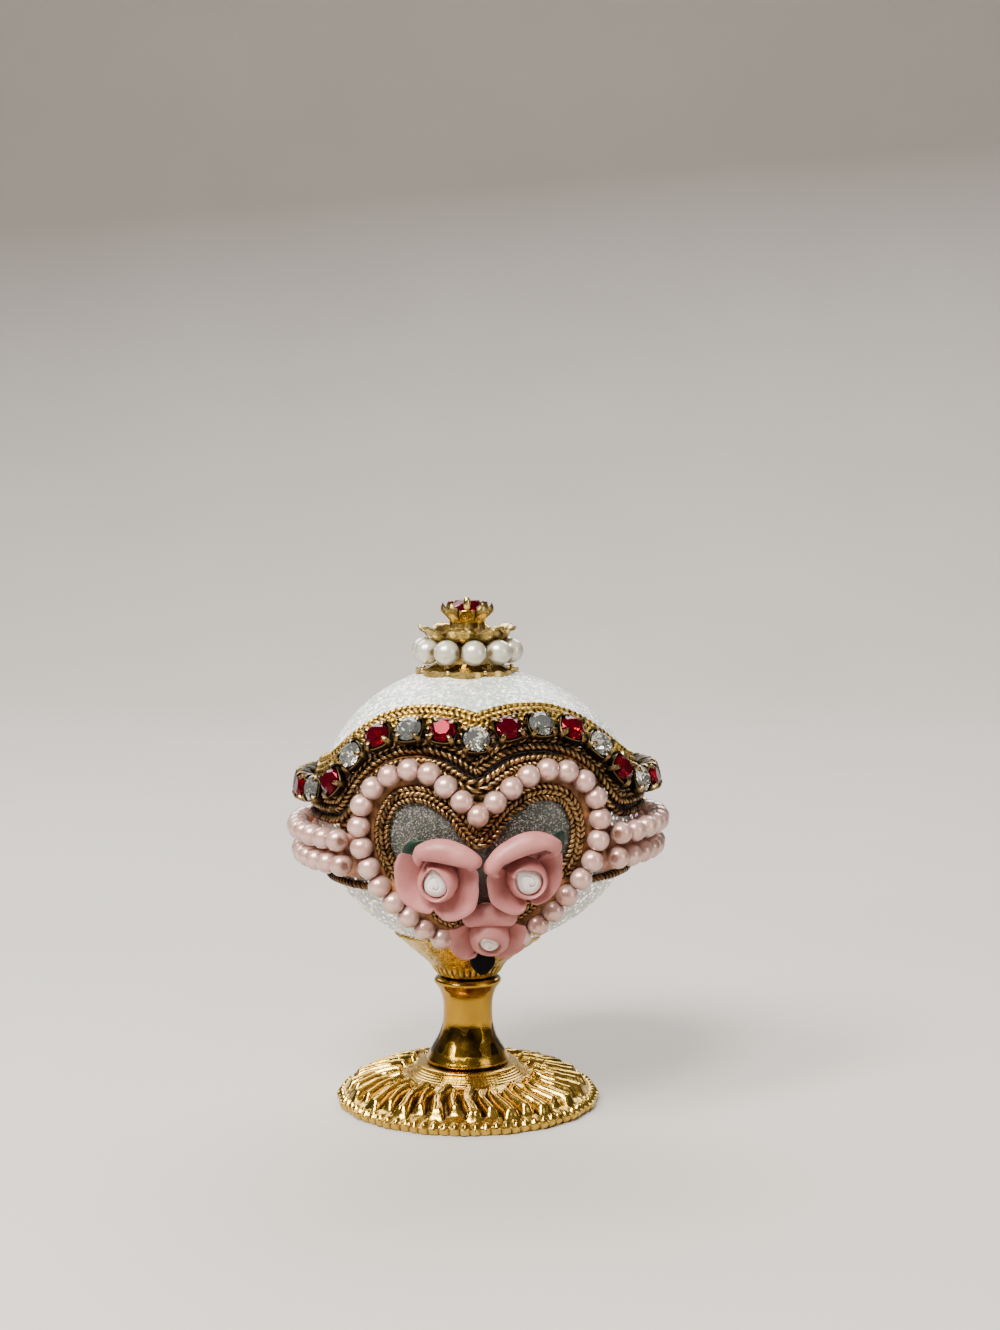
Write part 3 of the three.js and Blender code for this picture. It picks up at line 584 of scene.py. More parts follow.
# The shell's glitter painted dark grey-green: painted shade with a painted green cast from the
# leaves.
PANEL_SHADED = glitter("panel_shaded", "#2b2e24", "#4a4e42", 0.12, 0.25, 0.1, 0.1)
PINK_PEARL = pearl("pink_pearl", "#d4ada0", "#c69585", "#663a2d", "#5f2c14")
IVORY_PEARL = pearl("ivory_pearl", "#d8d4c2", "#cbc5aa", "#6a6045", "#7d6a3c")
RED_GLASS = cut_glass("red_glass", "#7a0320", 0.85, "#c8384e")
CLEAR_GLASS = cut_glass("clear_glass", "#dfe0da", 0.92, "#ffffff")
RED_FOIL = foil("red_foil", "#120106", "#560316", "#c02a4a")
SILVER_FOIL = foil("silver_foil", "#0d0c0a", "#6a665e", "#f8f5ec")
ROSE_PINK = porcelain("rose_pink", "#b97772", "#9f5f5c", "#e2d8d2", 0.4)
LEAF_GREEN = porcelain("leaf_green", "#09291a", "#04160b", "#0f3821", 0.3)
# The bottom leaf's green porcelain painted near black, as painted shade.
LEAF_SHADED = porcelain("leaf_dark", "#020203", "#010101", "#040505", 0.05)
PEACH = ribbon("peach", "#a87254", "#7b4a2e")
AMBER = ribbon("amber_glue", "#96602c", "#4f2c10")
# Glue painted dark, as the shade under the chain and cords.
GLUE_SHADED = ribbon("glue_shaded", "#4a2c12", "#1d0f05")


# Pedestal

FOOT_R, FLUTES, FLUTE_START = 15.1, 40, 6.8
STEM = [(0, 4.55), (4.5, 4.55), (4.72, 4.62), (4.75, 4.85), (4.62, 5.1), (4.4, 5.6), (3.95, 6.4),
        (3.35, 7.4), (3.0, 8.4), (2.86, 9.2), (2.82, 10.3), (2.85, 11.4), (3.0, 12.2),
        (3.3, 13.0), (3.7, 13.55), (3.85, 13.75), (3.84, 14.0), (3.7, 14.2), (3.3, 14.4), (0, 14.4)]
CUP = [(0, 14.5), (3.1, 14.5), (3.55, 14.72), (3.95, 15.2), (4.25, 15.8), (4.7, 16.35),
       (5.5, 16.95), (6.4, 17.5), (7.2, 18.05), (7.7, 18.35), (8.2, 18.7), (8.35, 18.88),
       (8.15, 19.05)]
# Where the cup's rim meets the egg: beyond this height the rim follows it.
CUP_RIM_R, CUP_RIM_Z = 8.2, 19.15


def rounded(profile, per_span=4):
    """More points along a profile, bent smoothly at its corners."""
    points = np.array(profile, float)
    keys = np.concatenate([[0], np.cumsum(np.linalg.norm(np.diff(points, axis=0), axis=1))])
    fine = np.concatenate([np.linspace(a, b, per_span, endpoint=False)
                           for a, b in zip(keys[:-1], keys[1:])] + [[keys[-1]]])
    raw = np.stack([np.interp(fine, keys, points[:, i]) for i in (0, 1)], axis=1)
    soft = raw.copy()
    soft[1:-1] = 0.25 * raw[:-2] + 0.5 * raw[1:-1] + 0.25 * raw[2:]
    return soft


def lathe(shape, profile, segments, change=None, hollow=0.0):
    """Turns a profile round the upright axis; `change` may move its points and shade them."""
    angle = circle(segments)
    r, z = profile.T[:, :, None]
    points = polar(r, angle, z)
    if change is not None:
        points, hollow = change(points, angle, r, z)
    shape.grid(points, hollow=hollow)


def make_foot():
    """The foot: long and short flutes by turns, a row of beads past their ends and a beaded
    rim. In flute(), t runs from 0 at the collar to 1 at the rim."""
    shape = Shape()
    dome = smooth_line([(FLUTE_START, 3.2), (8.4, 2.92), (10.9, 2.35), (13.4, 1.6), (15.2, 0.75)])
    dome_r = np.linspace(FLUTE_START, FOOT_R, 46)
    collar = [(0, 4.4), (5.6, 4.4), (5.82, 4.34), (5.86, 4.15), (5.8, 4.0), (6.0, 3.92),
              (6.02, 3.78), (6.25, 3.72), (6.27, 3.55), (6.5, 3.5), (6.52, 3.36), (6.75, 3.3)]
    edge = [(FOOT_R, 0.45), (FOOT_R - 0.25, 0.08), (FOOT_R - 0.7, 0.0), (0, 0)]
    profile = np.concatenate([rounded(collar, 3), np.stack([dome_r, dome(dome_r)], axis=1), edge])

    def flute(points, angle, r, z):
        t = (r - FLUTE_START) / (FOOT_R - FLUTE_START)
        sway = 0.32 * np.sin(TURN * (t - 0.08)) + 0.5 * t
        spot = FLUTES * angle / TURN + sway
        index = np.floor(spot)
        phase = 2 * (spot - index) - 1
        # Long flutes start nearer the collar and end nearer the rim.
        long = np.mod(index, 2) < 1
        jitter = 0.03 * np.sin(index * 12.9898)
        start = np.where(long, 0.05, 0.2) + jitter
        end = np.where(long, 0.87, 0.8) + jitter
        along = smoothstep(start, start + 0.1, t) * (1 - smoothstep(end - 0.1, end, t))
        width = np.where(long, 0.86, 0.66)
        ridge = np.sqrt(np.maximum(1 - (phase / width) ** 2, 0))
        crease = 0.18 * np.exp(-(phase / 0.12) ** 2) * long
        on_top = (t > 0) & (z > 0.5)
        bead_row = np.exp(-((t - 0.93) / 0.045) ** 2)
        beads = np.maximum(np.cos(FLUTES * angle * 2 + sway * 2), 0) * bead_row
        lift = along * (0.95 * ridge - 0.3 * (1 - ridge) - crease) + 0.45 * beads
        lift = np.where(on_top, lift, 0)
        outside = smoothstep(0.9, 1, t)
        edge_beads = np.abs(np.cos(FLUTES * angle + sway))
        waves = 0.12 * (np.cos(FLUTES * angle / 2) - 1) + 0.3 * (edge_beads ** 0.7 - 1)
        scallop = waves * outside
        scale = np.where(r > 0, (r + scallop) / np.maximum(r, TINY), 1)
        grown = points * stack(scale, scale, 1)
        grown[..., 2] += lift
        grown[..., 2] += wobble(grown, 0.8) * np.where(on_top, 0.07, 0.0)
        # Painted shade: darker in the valleys beside the flutes, off their ends, and between the
        # rim's beads.
        hollow = np.where(on_top, along * (1 - ridge) ** 1.5 + (1 - along) * 0.45 * (1 - beads),
                          0.7 * (1 - edge_beads))
        return grown, np.clip(hollow, 0, 1)

    lathe(shape, profile, FLUTES * 16, flute)
    piece("gilt_foot", shape, [GILT], ["foot"], smooth_angle=50)


def make_stem():
    shape = Shape()

    def shade(points, _, r, z):
        # Painted shade at the joins with the foot and the cup.
        dark = smoothstep(14.15, 14.4, z) + (1 - smoothstep(4.55, 4.8, z))
        waves = 0.035 * wobble(points * np.array([0.8, 0.8, 0.3]), 1.0) * smoothstep(4.9, 6, z)
        scale = 1 + waves / np.maximum(r, 1)
        # Painted reflections: dark streaks low on the stem and near its top, for the dark things
        # round it that it reflects.
        streak = wobble(points * np.array([0.9, 0.9, 0.22]), 1.1, 5.0)
        low = smoothstep(5.4, 6.2, z) * (1 - smoothstep(8.2, 9.6, z))
        dark_reflection = 1.3 * low * smoothstep(-0.22, 0.0, streak)
        high = 0.45 * smoothstep(11.6, 12.4, z) * smoothstep(-0.2, 0.3, streak)
        return points * stack(scale, scale, 1), np.clip(dark * 0.6 + dark_reflection + high, 0, 1)

    lathe(shape, rounded(STEM), 96, shade)
    piece("gilt_stem", shape, [GILT_STEM], ["stem"], smooth_angle=40)


def make_cup():
    shape = Shape()
    inside = [8.0, 7.0, 5.0, 2.5, 0.0]
    under = [(r, EGG_Z - egg_rise(r, TURN / 4) - 0.2) for r in inside]
    profile = np.concatenate([rounded(CUP, 5), under])

    def grain(points, angle, r, z):
        outside = (np.arange(len(profile)) < len(profile) - len(inside))[:, None]
        low = (1 - smoothstep(15.4, 16.6, z)) * smoothstep(14.6, 15.0, z)
        ribs = 0.5 + 0.5 * np.cos(36 * angle)
        lumps = wobble(points, 0.45) * smoothstep(15.3, 16.2, z)
        out = np.where(outside, 0.16 * low * (ribs - 1) + 0.13 * lumps, 0)
        scale = (r + out) / np.maximum(r, TINY)
        points = points * stack(scale, scale, 1)
        under_egg = EGG_Z - egg_rise(CUP_RIM_R, angle)
        points[..., 2] += np.maximum(under_egg - CUP_RIM_Z, 0) * smoothstep(16.4, 18.9, z)
        # Painted shade between the ribs, in the dents and round the cup's foot over the stem.
        hollow = np.clip(low * (1 - ribs) + np.maximum(-lumps, 0) * 1.2
                         + 0.5 * (1 - smoothstep(14.5, 14.9, z)), 0, 1)
        return points, hollow

    lathe(shape, profile, 216, grain)
    piece("gilt_cup", shape, [GILT_GRAIN], ["cup"], smooth_angle=60)


# Shell

def make_shells():
    opening = ring_route(OPENING)
    columns, rows = 320, 40
    at, _, _, side = opening.spaced(columns)
    for pole, name in ((1, "lid"), (-1, "base")):
        shape = Shape()
        ray = unit(at + side * pole * LID_GAP / 2 - TRIM_CENTRE)
        azimuth, elevation = np.arctan2(ray[:, 0], -ray[:, 1]), np.arcsin(ray[:, 2])
        share = np.concatenate([np.linspace(0.999, 0.012, rows - 1), [0]])[:, None]
        tilt = elevation + (pole * math.pi / 2 - elevation) * share
        outer, inner = [egg_along(compass(azimuth, tilt), grow) for grow in (0, -EGG_WALL)]
        # The rings about the cut edge are painted dark, as the shade in the gap between lid and
        # base.
        cut = np.zeros((2 * rows, 1))
        cut[rows - 2:rows + 6] = 1
        shape.grid(np.concatenate([outer, inner[::-1]]), hollow=cut, caps=True)
        piece(f"glitter_shell_{name}", shape, [SHELL_WHITE], [f"shell_{name}"])


# Cords

ROPE_STEPS, ROPE_SIDES, ROPE_FLAT, ROPE_PITCH = 12, 14, 0.95, 1.3
# How much painted shade darkens dashes picked at random, on the cords and on the upper braid.
ROPE_DASH_SHADE, BRAID_DASH_SHADE = 1.15, 0.75


def rope(shape, route, shift, height, radius, hand, seed, closed=True, pitch=ROPE_PITCH,
         painted_shade=ROPE_DASH_SHADE):
    """A two-strand twisted cord, `shift` to the left of a route and `height` over the egg,
    with each dash of its twist a little unlike the next."""
    turns = max(1, round(route.length / pitch))
    distance = np.linspace(0, route.length, turns * ROPE_STEPS, endpoint=not closed)
    at, _, up, side = route.frames(distance)
    centre = on_egg(at + side * shift, height)
    angle = circle(ROPE_SIDES)
    twist = hand * TURN * turns * (distance / route.length)[:, None]
    spot = (angle - twist) / math.pi
    lobe = np.abs(np.cos(math.pi * spot))
    dash = np.mod(np.floor(spot + 0.5), 2 * turns)
    odd = unlike(dash, seed * 4.1 + hand)
    r = radius * (0.58 + 0.42 * smoothstep(0, 0.85, lobe)) * (0.96 + 0.08 * odd)
    points = reach_out(centre[:, None], (side[:, None], up[:, None]), r * np.cos(angle),
                       ROPE_FLAT * r * np.sin(angle))
    # Painted shade: darker in the crevices between the strands, and on dashes picked at random, as
    # if they caught no light.
    hollow = 1 - smoothstep(0.45, 0.8, lobe) + painted_shade * (odd - 0.4)
    shape.grid(points, loop_rows=closed, hollow=np.clip(hollow, 0, 1), caps=not closed)


def cord(name, nodes, material, *ropes):
    """One piece made of ropes, each given as rope() takes it."""
    shape = Shape()
    for values in ropes:
        rope(shape, *values)
    piece(f"twisted_{name}", shape, [material], nodes)


def make_cords():
    opening, braid, heart = [ring_route(OPENING), ring_route(BRAID_LINE),
                             heart_route(INNER_BRAID, 0)]
    rim, size = LID_GAP / 2 + 0.05 + RIM_CORD_R, (RIM_CORD_HEIGHT, RIM_CORD_R)
    cord("lid_rim_cord", ["lid_rim_cord"], CORD_GOLD, (opening, rim, *size, 1, 0),
         (opening, rim + 2 * RIM_CORD_R, *size, -1, 1))
    cord("base_rim_cord", ["base_rim_cord"], CORD_GOLD, (opening, -rim, *size, -1, 3))

    def front(part):
        return Route(lambda turn: opening.place((turn - 0.5) * part))

    # Two short cords, one over the other, fill the notch above the heart.
    cord("infill_cord", [], CORD_GOLD, (front(0.31), -1.397, 0.4, 0.4, 1, 4, False),
         (front(0.09), -2.128, 0.35, 0.38, -1, 5, False))
    cord("upper_braid", ["lid_upper_braid"], BRIGHT_CORD, *[
        (braid, row * BRAID_STEP, BRAID_HEIGHT, BRAID_R, hand, 6 + row, True, ROPE_PITCH,
         BRAID_DASH_SHADE) for row, hand in ((-1.5, 1), (-0.5, -1), (0.5, 1), (1.5, -1))])
    cord("lower_cord", ["base_lower_cord"], DARK_CORD,
         (back_route(LOWER_CORD_START, LOWER_CORD_Z), 0, LOWER_CORD_R, LOWER_CORD_R, 1, 9, False))
    cord("heart_braid", ["heart_inner_braid"], CORD_GOLD, *[
        (heart, row * HEART_CORD_STEP, HEART_CORD_HEIGHT - 0.05 * abs(row), HEART_CORD_R, hand,
         12 + row, True, HEART_CORD_PITCH) for row, hand in ((-1, 1), (0, -1), (1, 1))])


# Pearls

PEARL_HOLE, OPEN_HOLE, THREAD_R = 0.3, 0.42, 0.16


def ball(shape, centre, axes, radius, columns=20, rows=13, hole=PEARL_HOLE):
    """A sphere with its poles on the first axis, sunk round the drilled hole. A high `hollow` round
    the poles paints the hole dark, as the shade inside it; on a metal bead both poles are painted
    dark as shade.
    """
    tilt = np.linspace(0.0, math.pi, rows)[:, None]
    angle = circle(columns)
    ring = np.sin(tilt)
    reach = np.cos(tilt) * (1 - 0.12 * np.exp(-(ring / 0.25) ** 2))
    points = reach_out(centre, axes, radius * reach, radius * ring * np.cos(angle),
                       radius * ring * np.sin(angle))
    shape.grid(points, hollow=np.clip(1.4 * np.exp(-(ring / hole) ** 2), 0, 1))


def strand(name, node, route, count, closed):
    """Pink pearls on a thread, each a little unlike the next in size and place."""
    shape = Shape()
    random = np.random.default_rng(len(name))
    pitch = route.length / count
    distance = (np.arange(count) + (0 if closed else 0.5)) * pitch
    at, along, up, side = route.frames(distance)
    for i in range(count):
        size = PEARL_R * (1 + 0.03 * (random.random() - 0.5))
        shift = side[i] * 0.12 * (random.random() - 0.5)
        axes, hole = (along[i], up[i], side[i]), PEARL_HOLE
        if not closed and i in (0, count - 1):
            # A row's last pearl shows its drilled hole, turned a little to the front.
            tip = unit(along[i] * (1 if i else -1) + np.array([0, -0.9, 0]))
            rise = unit(np.cross(side[i], tip))
            axes, hole = (tip, rise, np.cross(tip, rise)), OPEN_HOLE
        ball(shape, at[i] + shift, axes, size, hole=hole)
    at, _, up, side = [values[:, None] for values in route.spaced(count * 6, closed)]
    angle = circle(6)
    tube = reach_out(at, (up, side), THREAD_R * np.cos(angle), THREAD_R * np.sin(angle))
    shape.grid(tube, loop_rows=closed, caps=not closed, paint=1)
    piece(name, shape, [PINK_PEARL, PEACH], [node])


def make_pearls():
    heart = heart_route(HEART, HEART_HEIGHT)
    strand("heart_pearl_string", "heart_pearls", heart, HEART_PEARLS, True)
    for row, z in ROW_Z.items():
        route = back_route(ROW_START, z, ROW_HEIGHT)
        count = round(route.length / (2 * PEARL_R))
        strand(f"pearl_string_{row}", f"pearl_row_{row}", route, count, False)


# Backing, glue and panel

def coating(name, nodes, route, section, material, closed, lump, seed=0.0):
    """A lumpy band on the egg, its section given as distances to the left and heights."""
    shape = Shape()
    at, _, _, side = route.spaced(300, closed)
    rings = np.stack([on_egg(at + side * s, np.ravel(h)) for s, h in section(at)], axis=1)
    lumps = wobble(rings, 0.8, seed)[..., None] * egg_normal(rings) * lump
    lumps[:, 0] = lumps[:, -1] = 0
    shape.grid(rings + lumps, loop_rows=closed, caps=not closed)
    piece(name, shape, [material], nodes)


def lumpy(sheet):
    return sheet + egg_normal(sheet) * 0.08 * wobble(sheet, 0.6)[..., None]


def make_bands():
    """The peach strip under the pearl rows and the amber glue under the heart's pearls."""
    low = [(-2.5, 0.12), (-2.47, 0.6), (-2.1, 0.95), (-0.8, 0.98), (0, 1.15), (0.8, 0.98),
           (2.1, 0.95), (2.47, 0.6), (2.5, 0.12)]
    coating("peach_backing", ["pearl_backing"], back_route(49.5, 30.43), lambda at: low, PEACH,
            False, 0.08)

    def glue(at):
        upper = smoothstep(28, 35, at[:, 2])[:, None]
        reach = -(0.75 + 0.75 * upper)
        low = 1 - smoothstep(25, 29, at[:, 2])[:, None]
        inner = 2.6 + 0.3 * low
        return [(reach, 0.02), (reach * 0.85, 0.2), (-0.4, 0.5), (0.3, 0.5),
                (1.0, 0.35 + 0.65 * low), (inner - 0.2, 0.3 + 0.65 * low), (inner, 0.02)]
    coating("heart_glue", [], heart_route(HEART, 0), glue, AMBER, True, 0.16, 3.0)


def make_rim_glue():
    """Brown glue above the heart, from the opening down, deepest in the notch, painted dark as the
    shade under the cords and chain.
    """
    degrees = np.linspace(-57, 57, 160)[:, None]
    azimuth = np.radians(degrees)
    rim = ring_level(OPENING, degrees) - 0.2
    depth = 3.4 + 2.2 * np.exp(-(degrees / 9) ** 2)
    level = rim - depth * np.linspace(0, 1, 12)[None, :]
    sheet = lumpy(egg_at(azimuth, level, 0.16))
    under = egg_at(azimuth, level, 0.01)
    shape = Shape()
    shape.grid(np.concatenate([sheet, under[:, ::-1]], axis=1), caps=True)
    piece("rim_glue", shape, [GLUE_SHADED], [])


def make_lid_glue():
    """A dark sheet all round the lid, between the opening and the braid: painted shade under the
    chain and cords, in the colour of glue.
    """
    opening, braid = ring_route(OPENING), ring_route(BRAID_LINE)
    turn = np.linspace(0, 1, 360, endpoint=False)
    low, high = opening.place(turn), braid.place(turn)
    share = np.linspace(0, 1, 8)[None, :, None]
    strip = lumpy(on_egg(low[:, None] + (high - low)[:, None] * (0.2 + 0.75 * share), 0.16))
    shape = Shape()
    shape.grid(np.concatenate([strip, on_egg(strip, 0.01)[:, ::-1]], axis=1), loop_rows=True)
    piece("lid_glue", shape, [GLUE_SHADED], [])


def make_panel():
    """The glitter inside the heart: the shell's glitter painted darker and greener, as painted
    shade with a painted green cast from the leaves, and darker still low down in the roses' painted
    shade.
    """
    edge = heart_route(INNER_BRAID, 0).spaced(120)[0]
    centre = egg_front(1.5, 30.5)
    share = np.linspace(0.02, 1.0, 22)[:, None, None]
    points = on_egg(centre + (edge[None] - centre) * share, 0.08)
    shape = Shape()
    shadow = 0.9 * (1 - smoothstep(29.5, 32.5, points[..., 2]))
    shape.grid(np.concatenate([points, on_egg(points[::-1], 0.02)]),
               hollow=np.concatenate([shadow, shadow[::-1]]), caps=True)
    piece("heart_panel", shape, [PANEL_SHADED], [])


# The cup chain

def cut_stone(name, node, red, at, axes, radius, girdle, top, bottom, table=0.58):
    """A round brilliant: table, star and main facets over a foiled pavilion."""
    def ring(r, height, count, turn=0.0):
        angle = TURN * (np.arange(count) + turn) / count
        return reach_out(at, axes, r * np.cos(angle), r * np.sin(angle), height)

    low, high = girdle - 0.05, girdle + 0.08
    shape = Shape()
    shape.skin([ring(0, top, 1), ring(table * radius, top, 8),
                ring(0.8 * radius, girdle + 0.62 * (top - girdle), 8, 0.5),
                ring(radius, high, 16), ring(radius, low, 16)])
    shape.skin([ring(radius, low, 16), ring(0.55 * radius, (girdle + bottom) / 2, 8, 0.5),
                ring(0, bottom, 1)], paint=1)
    piece(name, shape, [RED_GLASS, RED_FOIL] if red else [CLEAR_GLASS, SILVER_FOIL], [node],
          smooth=False)


# The chain's cup, as radii, heights and how much painted shade each ring has, and a claw's spine,
# as its reach from the middle, its height, its half width and how much painted shade it has. The
# painted shade darkens the cups' sides and the claws' feet under the stones, over metal that is
# itself dark.
CHAIN_CUP = [(0.0, 1.02, 1.0), (1.0, 1.02, 1.0), (1.3, 1.1, 1.0), (1.5, 1.45, 1.0),
             (1.57, 1.95, 0.95), (1.57, 2.2, 0.7), (1.5, 2.28, 0.35), (1.42, 2.15, 0.8),
             (1.3, 1.7, 1.0), (0.6, 1.25, 1.0), (0.0, 1.2, 1.0)]
CLAW = [(1.84, 1.35, 0.3, 0.9), (1.92, 2.0, 0.32, 0.7), (1.82, 2.55, 0.28, 0.25),
        (1.48, 2.86, 0.22, 0), (1.2, 2.86, 0.12, 0)]
CUP_SQUARENESS = 3.2


def make_chain():
    route = ring_route(CHAIN_LINE, CHAIN_HEIGHT)
    pitch = route.length / STONES
    at, along, up, side = route.frames(np.arange(STONES) * pitch)
    at = at - up * CHAIN_HEIGHT
    metalwork = Shape()
    angle = circle(24)
    square = (np.abs(np.cos(angle)) ** CUP_SQUARENESS
              + np.abs(np.sin(angle)) ** CUP_SQUARENESS) ** (-1 / CUP_SQUARENESS)
    cup_r, cup_z, cup_hollow = np.array(CHAIN_CUP).T[:, :, None]
    reach, height, half, claw_hollow = np.array(CLAW).T[:, :, None]
    # A claw's four sides: shares of its half width, and how far each lies out of its spine.
    sides, outs = np.array([(-1, -0.1), (1, -0.1), (0.7, 0.12), (-0.7, 0.12)]).T
    claw_x, claw_y, claw_z = reach + outs, half * sides, height + 0.5 * np.maximum(outs, 0)
    for i in range(STONES):
        axes = along[i], side[i], up[i]
        metalwork.grid(reach_out(at[i], axes, cup_r * square * np.cos(angle),
                                 cup_r * square * np.sin(angle), cup_z), hollow=cup_hollow)
        for corner in range(4):
            turn = TURN / 8 + corner * TURN / 4
            claw = reach_out(at[i], axes, math.cos(turn) * claw_x - math.sin(turn) * claw_y,
                             math.sin(turn) * claw_x + math.cos(turn) * claw_y, claw_z)
            metalwork.grid(claw, caps=True, hollow=claw_hollow)
        red = i % 2 == 1
        node = f"stone_{'red' if red else 'clear'}_{i + 1:02d}"
        cut_stone(f"cut_{node}", node, red, at[i], axes, **STONE)
    middle, along, up, side = route.frames((np.arange(STONES) + 0.5) * pitch)
    middle = middle - up * (CHAIN_HEIGHT - LINK_HEIGHT)
    for i in range(STONES):
        for y in (-LINK_APART, LINK_APART):
            axes = along[i] * 1.5, up[i], side[i]
            ball(metalwork, middle[i] + side[i] * y, axes, LINK_R, 8, 7)
    piece("cup_chain", metalwork, [CHAIN_GOLD], ["rhinestone_chain"],
          smooth_angle=45)


# Roses and leaves

# Each petal's edge is given as degrees round the bud and how far it reaches there; `lip` is
# the line that a rolled edge comes back to and the way it faces.
ROSES = {
    "rose_left": dict(bud=(-2.95, 28.9), depth=4.1, reach=0.1, turn=-12, dip=-10, tip=90,
                      white=1.32, petals=[
        dict(rise=0.35, edge=[(138, 4.75), (144, 4.86), (180, 4.55), (201, 4.6), (222, 4.35),
                              (245, 3.95), (258, 3.75), (263, 3.1)]),
        dict(rise=0.6, edge=[(263, 2.6), (270, 3.6), (280, 4.35), (292, 4.7), (310, 4.85),
                             (325, 5.0), (340, 4.75), (360, 4.55), (376, 4.8), (383, 4.6)]),
        dict(rise=0.3, lip=(2.7, 82), edge=[(27, 4.9), (33, 5.25), (58, 4.7), (88, 4.3),
                                            (112, 3.9), (124, 3.3)])]),
    "rose_right": dict(bud=(6.45, 29.0), depth=4.1, reach=0.1, turn=13, dip=-8, tip=138,
                       white=1.36, petals=[
        dict(rise=0.6, edge=[(163, 4.2), (172, 4.4), (192, 4.25), (212, 4.45), (229, 4.2),
                             (251, 4.0), (264, 3.7), (270, 2.9)]),
        dict(rise=0.35, edge=[(284, 2.6), (291, 3.1), (310, 3.4), (336, 3.65), (351, 3.8),
                              (377, 4.0), (396, 4.65), (405, 4.2)]),
        dict(rise=0.3, lip=(3.1, 109), edge=[(50, 4.6), (56, 4.95), (85, 4.9), (115, 4.5),
                                             (145, 4.5), (158, 4.6), (164, 4.0)])]),
    "rose_bottom": dict(bud=(2.45, 22.2), depth=3.9, reach=-0.35, turn=3, dip=-36, tip=120,
                        white=1.12, petals=[
        dict(rise=0.6, edge=[(153, 4.3), (157, 4.67), (178, 3.95), (196, 4.25), (220, 4.2),
                             (234, 3.95), (243, 2.9)]),
        dict(rise=0.45, edge=[(289, 2.7), (300, 3.7), (319, 3.85), (331, 4.15), (352, 3.8),
                              (376, 4.2), (389, 4.4)]),
        dict(rise=-1.1, lip=(2.0, 90), edge=[(40, 3.5), (60, 3.7), (97, 3.6), (138, 3.3)])]),
}
PETAL_ROOT, PETAL_DEPTH, PETAL_THICK = 0.9, 1.9, 0.38


def facing(turn, dip):
    """Axes to the right, up and forward of something that faces this way, in degrees."""
    turn, dip = math.radians(turn), math.radians(dip)
    forward, right = compass(turn, dip), compass(turn + TURN / 4, 0)
    return right, np.cross(forward, right), forward


def bend(controls, t):
    """A smooth path near its control points that starts and ends on the outer two."""
    points = np.stack([controls[0]] * 2 + controls + [controls[-1]] * 2)
    spot = t * (len(points) - 3) * 0.9999
    k = np.floor(spot).astype(int)
    u = (spot - k).reshape(-1, *[1] * (points.ndim - 1))
    a, b, c, d = [points[k + shift] for shift in range(4)]
    return ((1 - u) ** 3 * a + (3 * u ** 3 - 6 * u ** 2 + 4) * b
            + (-3 * u ** 3 + 3 * u ** 2 + 3 * u + 1) * c + u ** 3 * d) / 6


def make_petal(shape, place, seed, edge, rise, lip=None):
    """One petal; one with a lip rolls outward and comes back over itself."""
    turns, reaches = np.array(edge, float).T
    share = np.linspace(0, 1, 41)
    turn = turns[0] + share * (turns[-1] - turns[0])
    reach = np.interp(turn, turns, reaches)
    reach[1:-1] = 0.05 * reach[:-2] + 0.9 * reach[1:-1] + 0.05 * reach[2:]
    u = 2 * share - 1
    v = np.linspace(0, 1, 30 if lip else 22)[:, None]
    middle = turns.mean()
    if lip:
        top = rise + 1.15
        line, toward = lip
        lip = np.minimum(line / np.maximum(np.cos(np.radians(turn - toward)), 0.2), reach - 0.9)
        mid = (reach + lip) / 2
        fade = 1 - 0.3 * u ** 4
        controls = [(PETAL_ROOT, -PETAL_DEPTH), (0.55 * reach, -1.3), (1.06 * reach, rise - 0.6),
                    (1.1 * reach, rise + 0.7), (mid + 0.35, top + 0.45 * fade),
                    (lip - 0.1, top + 0.15), (lip + 0.15, top - 0.65)]
        path = bend([stack(r, ahead, 0 * u) for r, ahead in controls], v[:, 0])
        radius, ahead = path[..., 0], path[..., 1] - 0.25 * u ** 4
    else:
        radius = PETAL_ROOT + (reach - PETAL_ROOT) * v
        ahead = (rise + PETAL_DEPTH) * v ** 1.2 - PETAL_DEPTH - 0.3 * v ** 8
        ahead = ahead + 0.3 * v ** 2 * u ** 2 + 0.1 * v * np.sin(4.2 * u + seed)
    spread = 1 + 0.14 * (1 - v ** 2)
    angle = np.radians(middle + (turn - middle) * spread)
    shape.plate(place(radius, angle, ahead), PETAL_THICK)


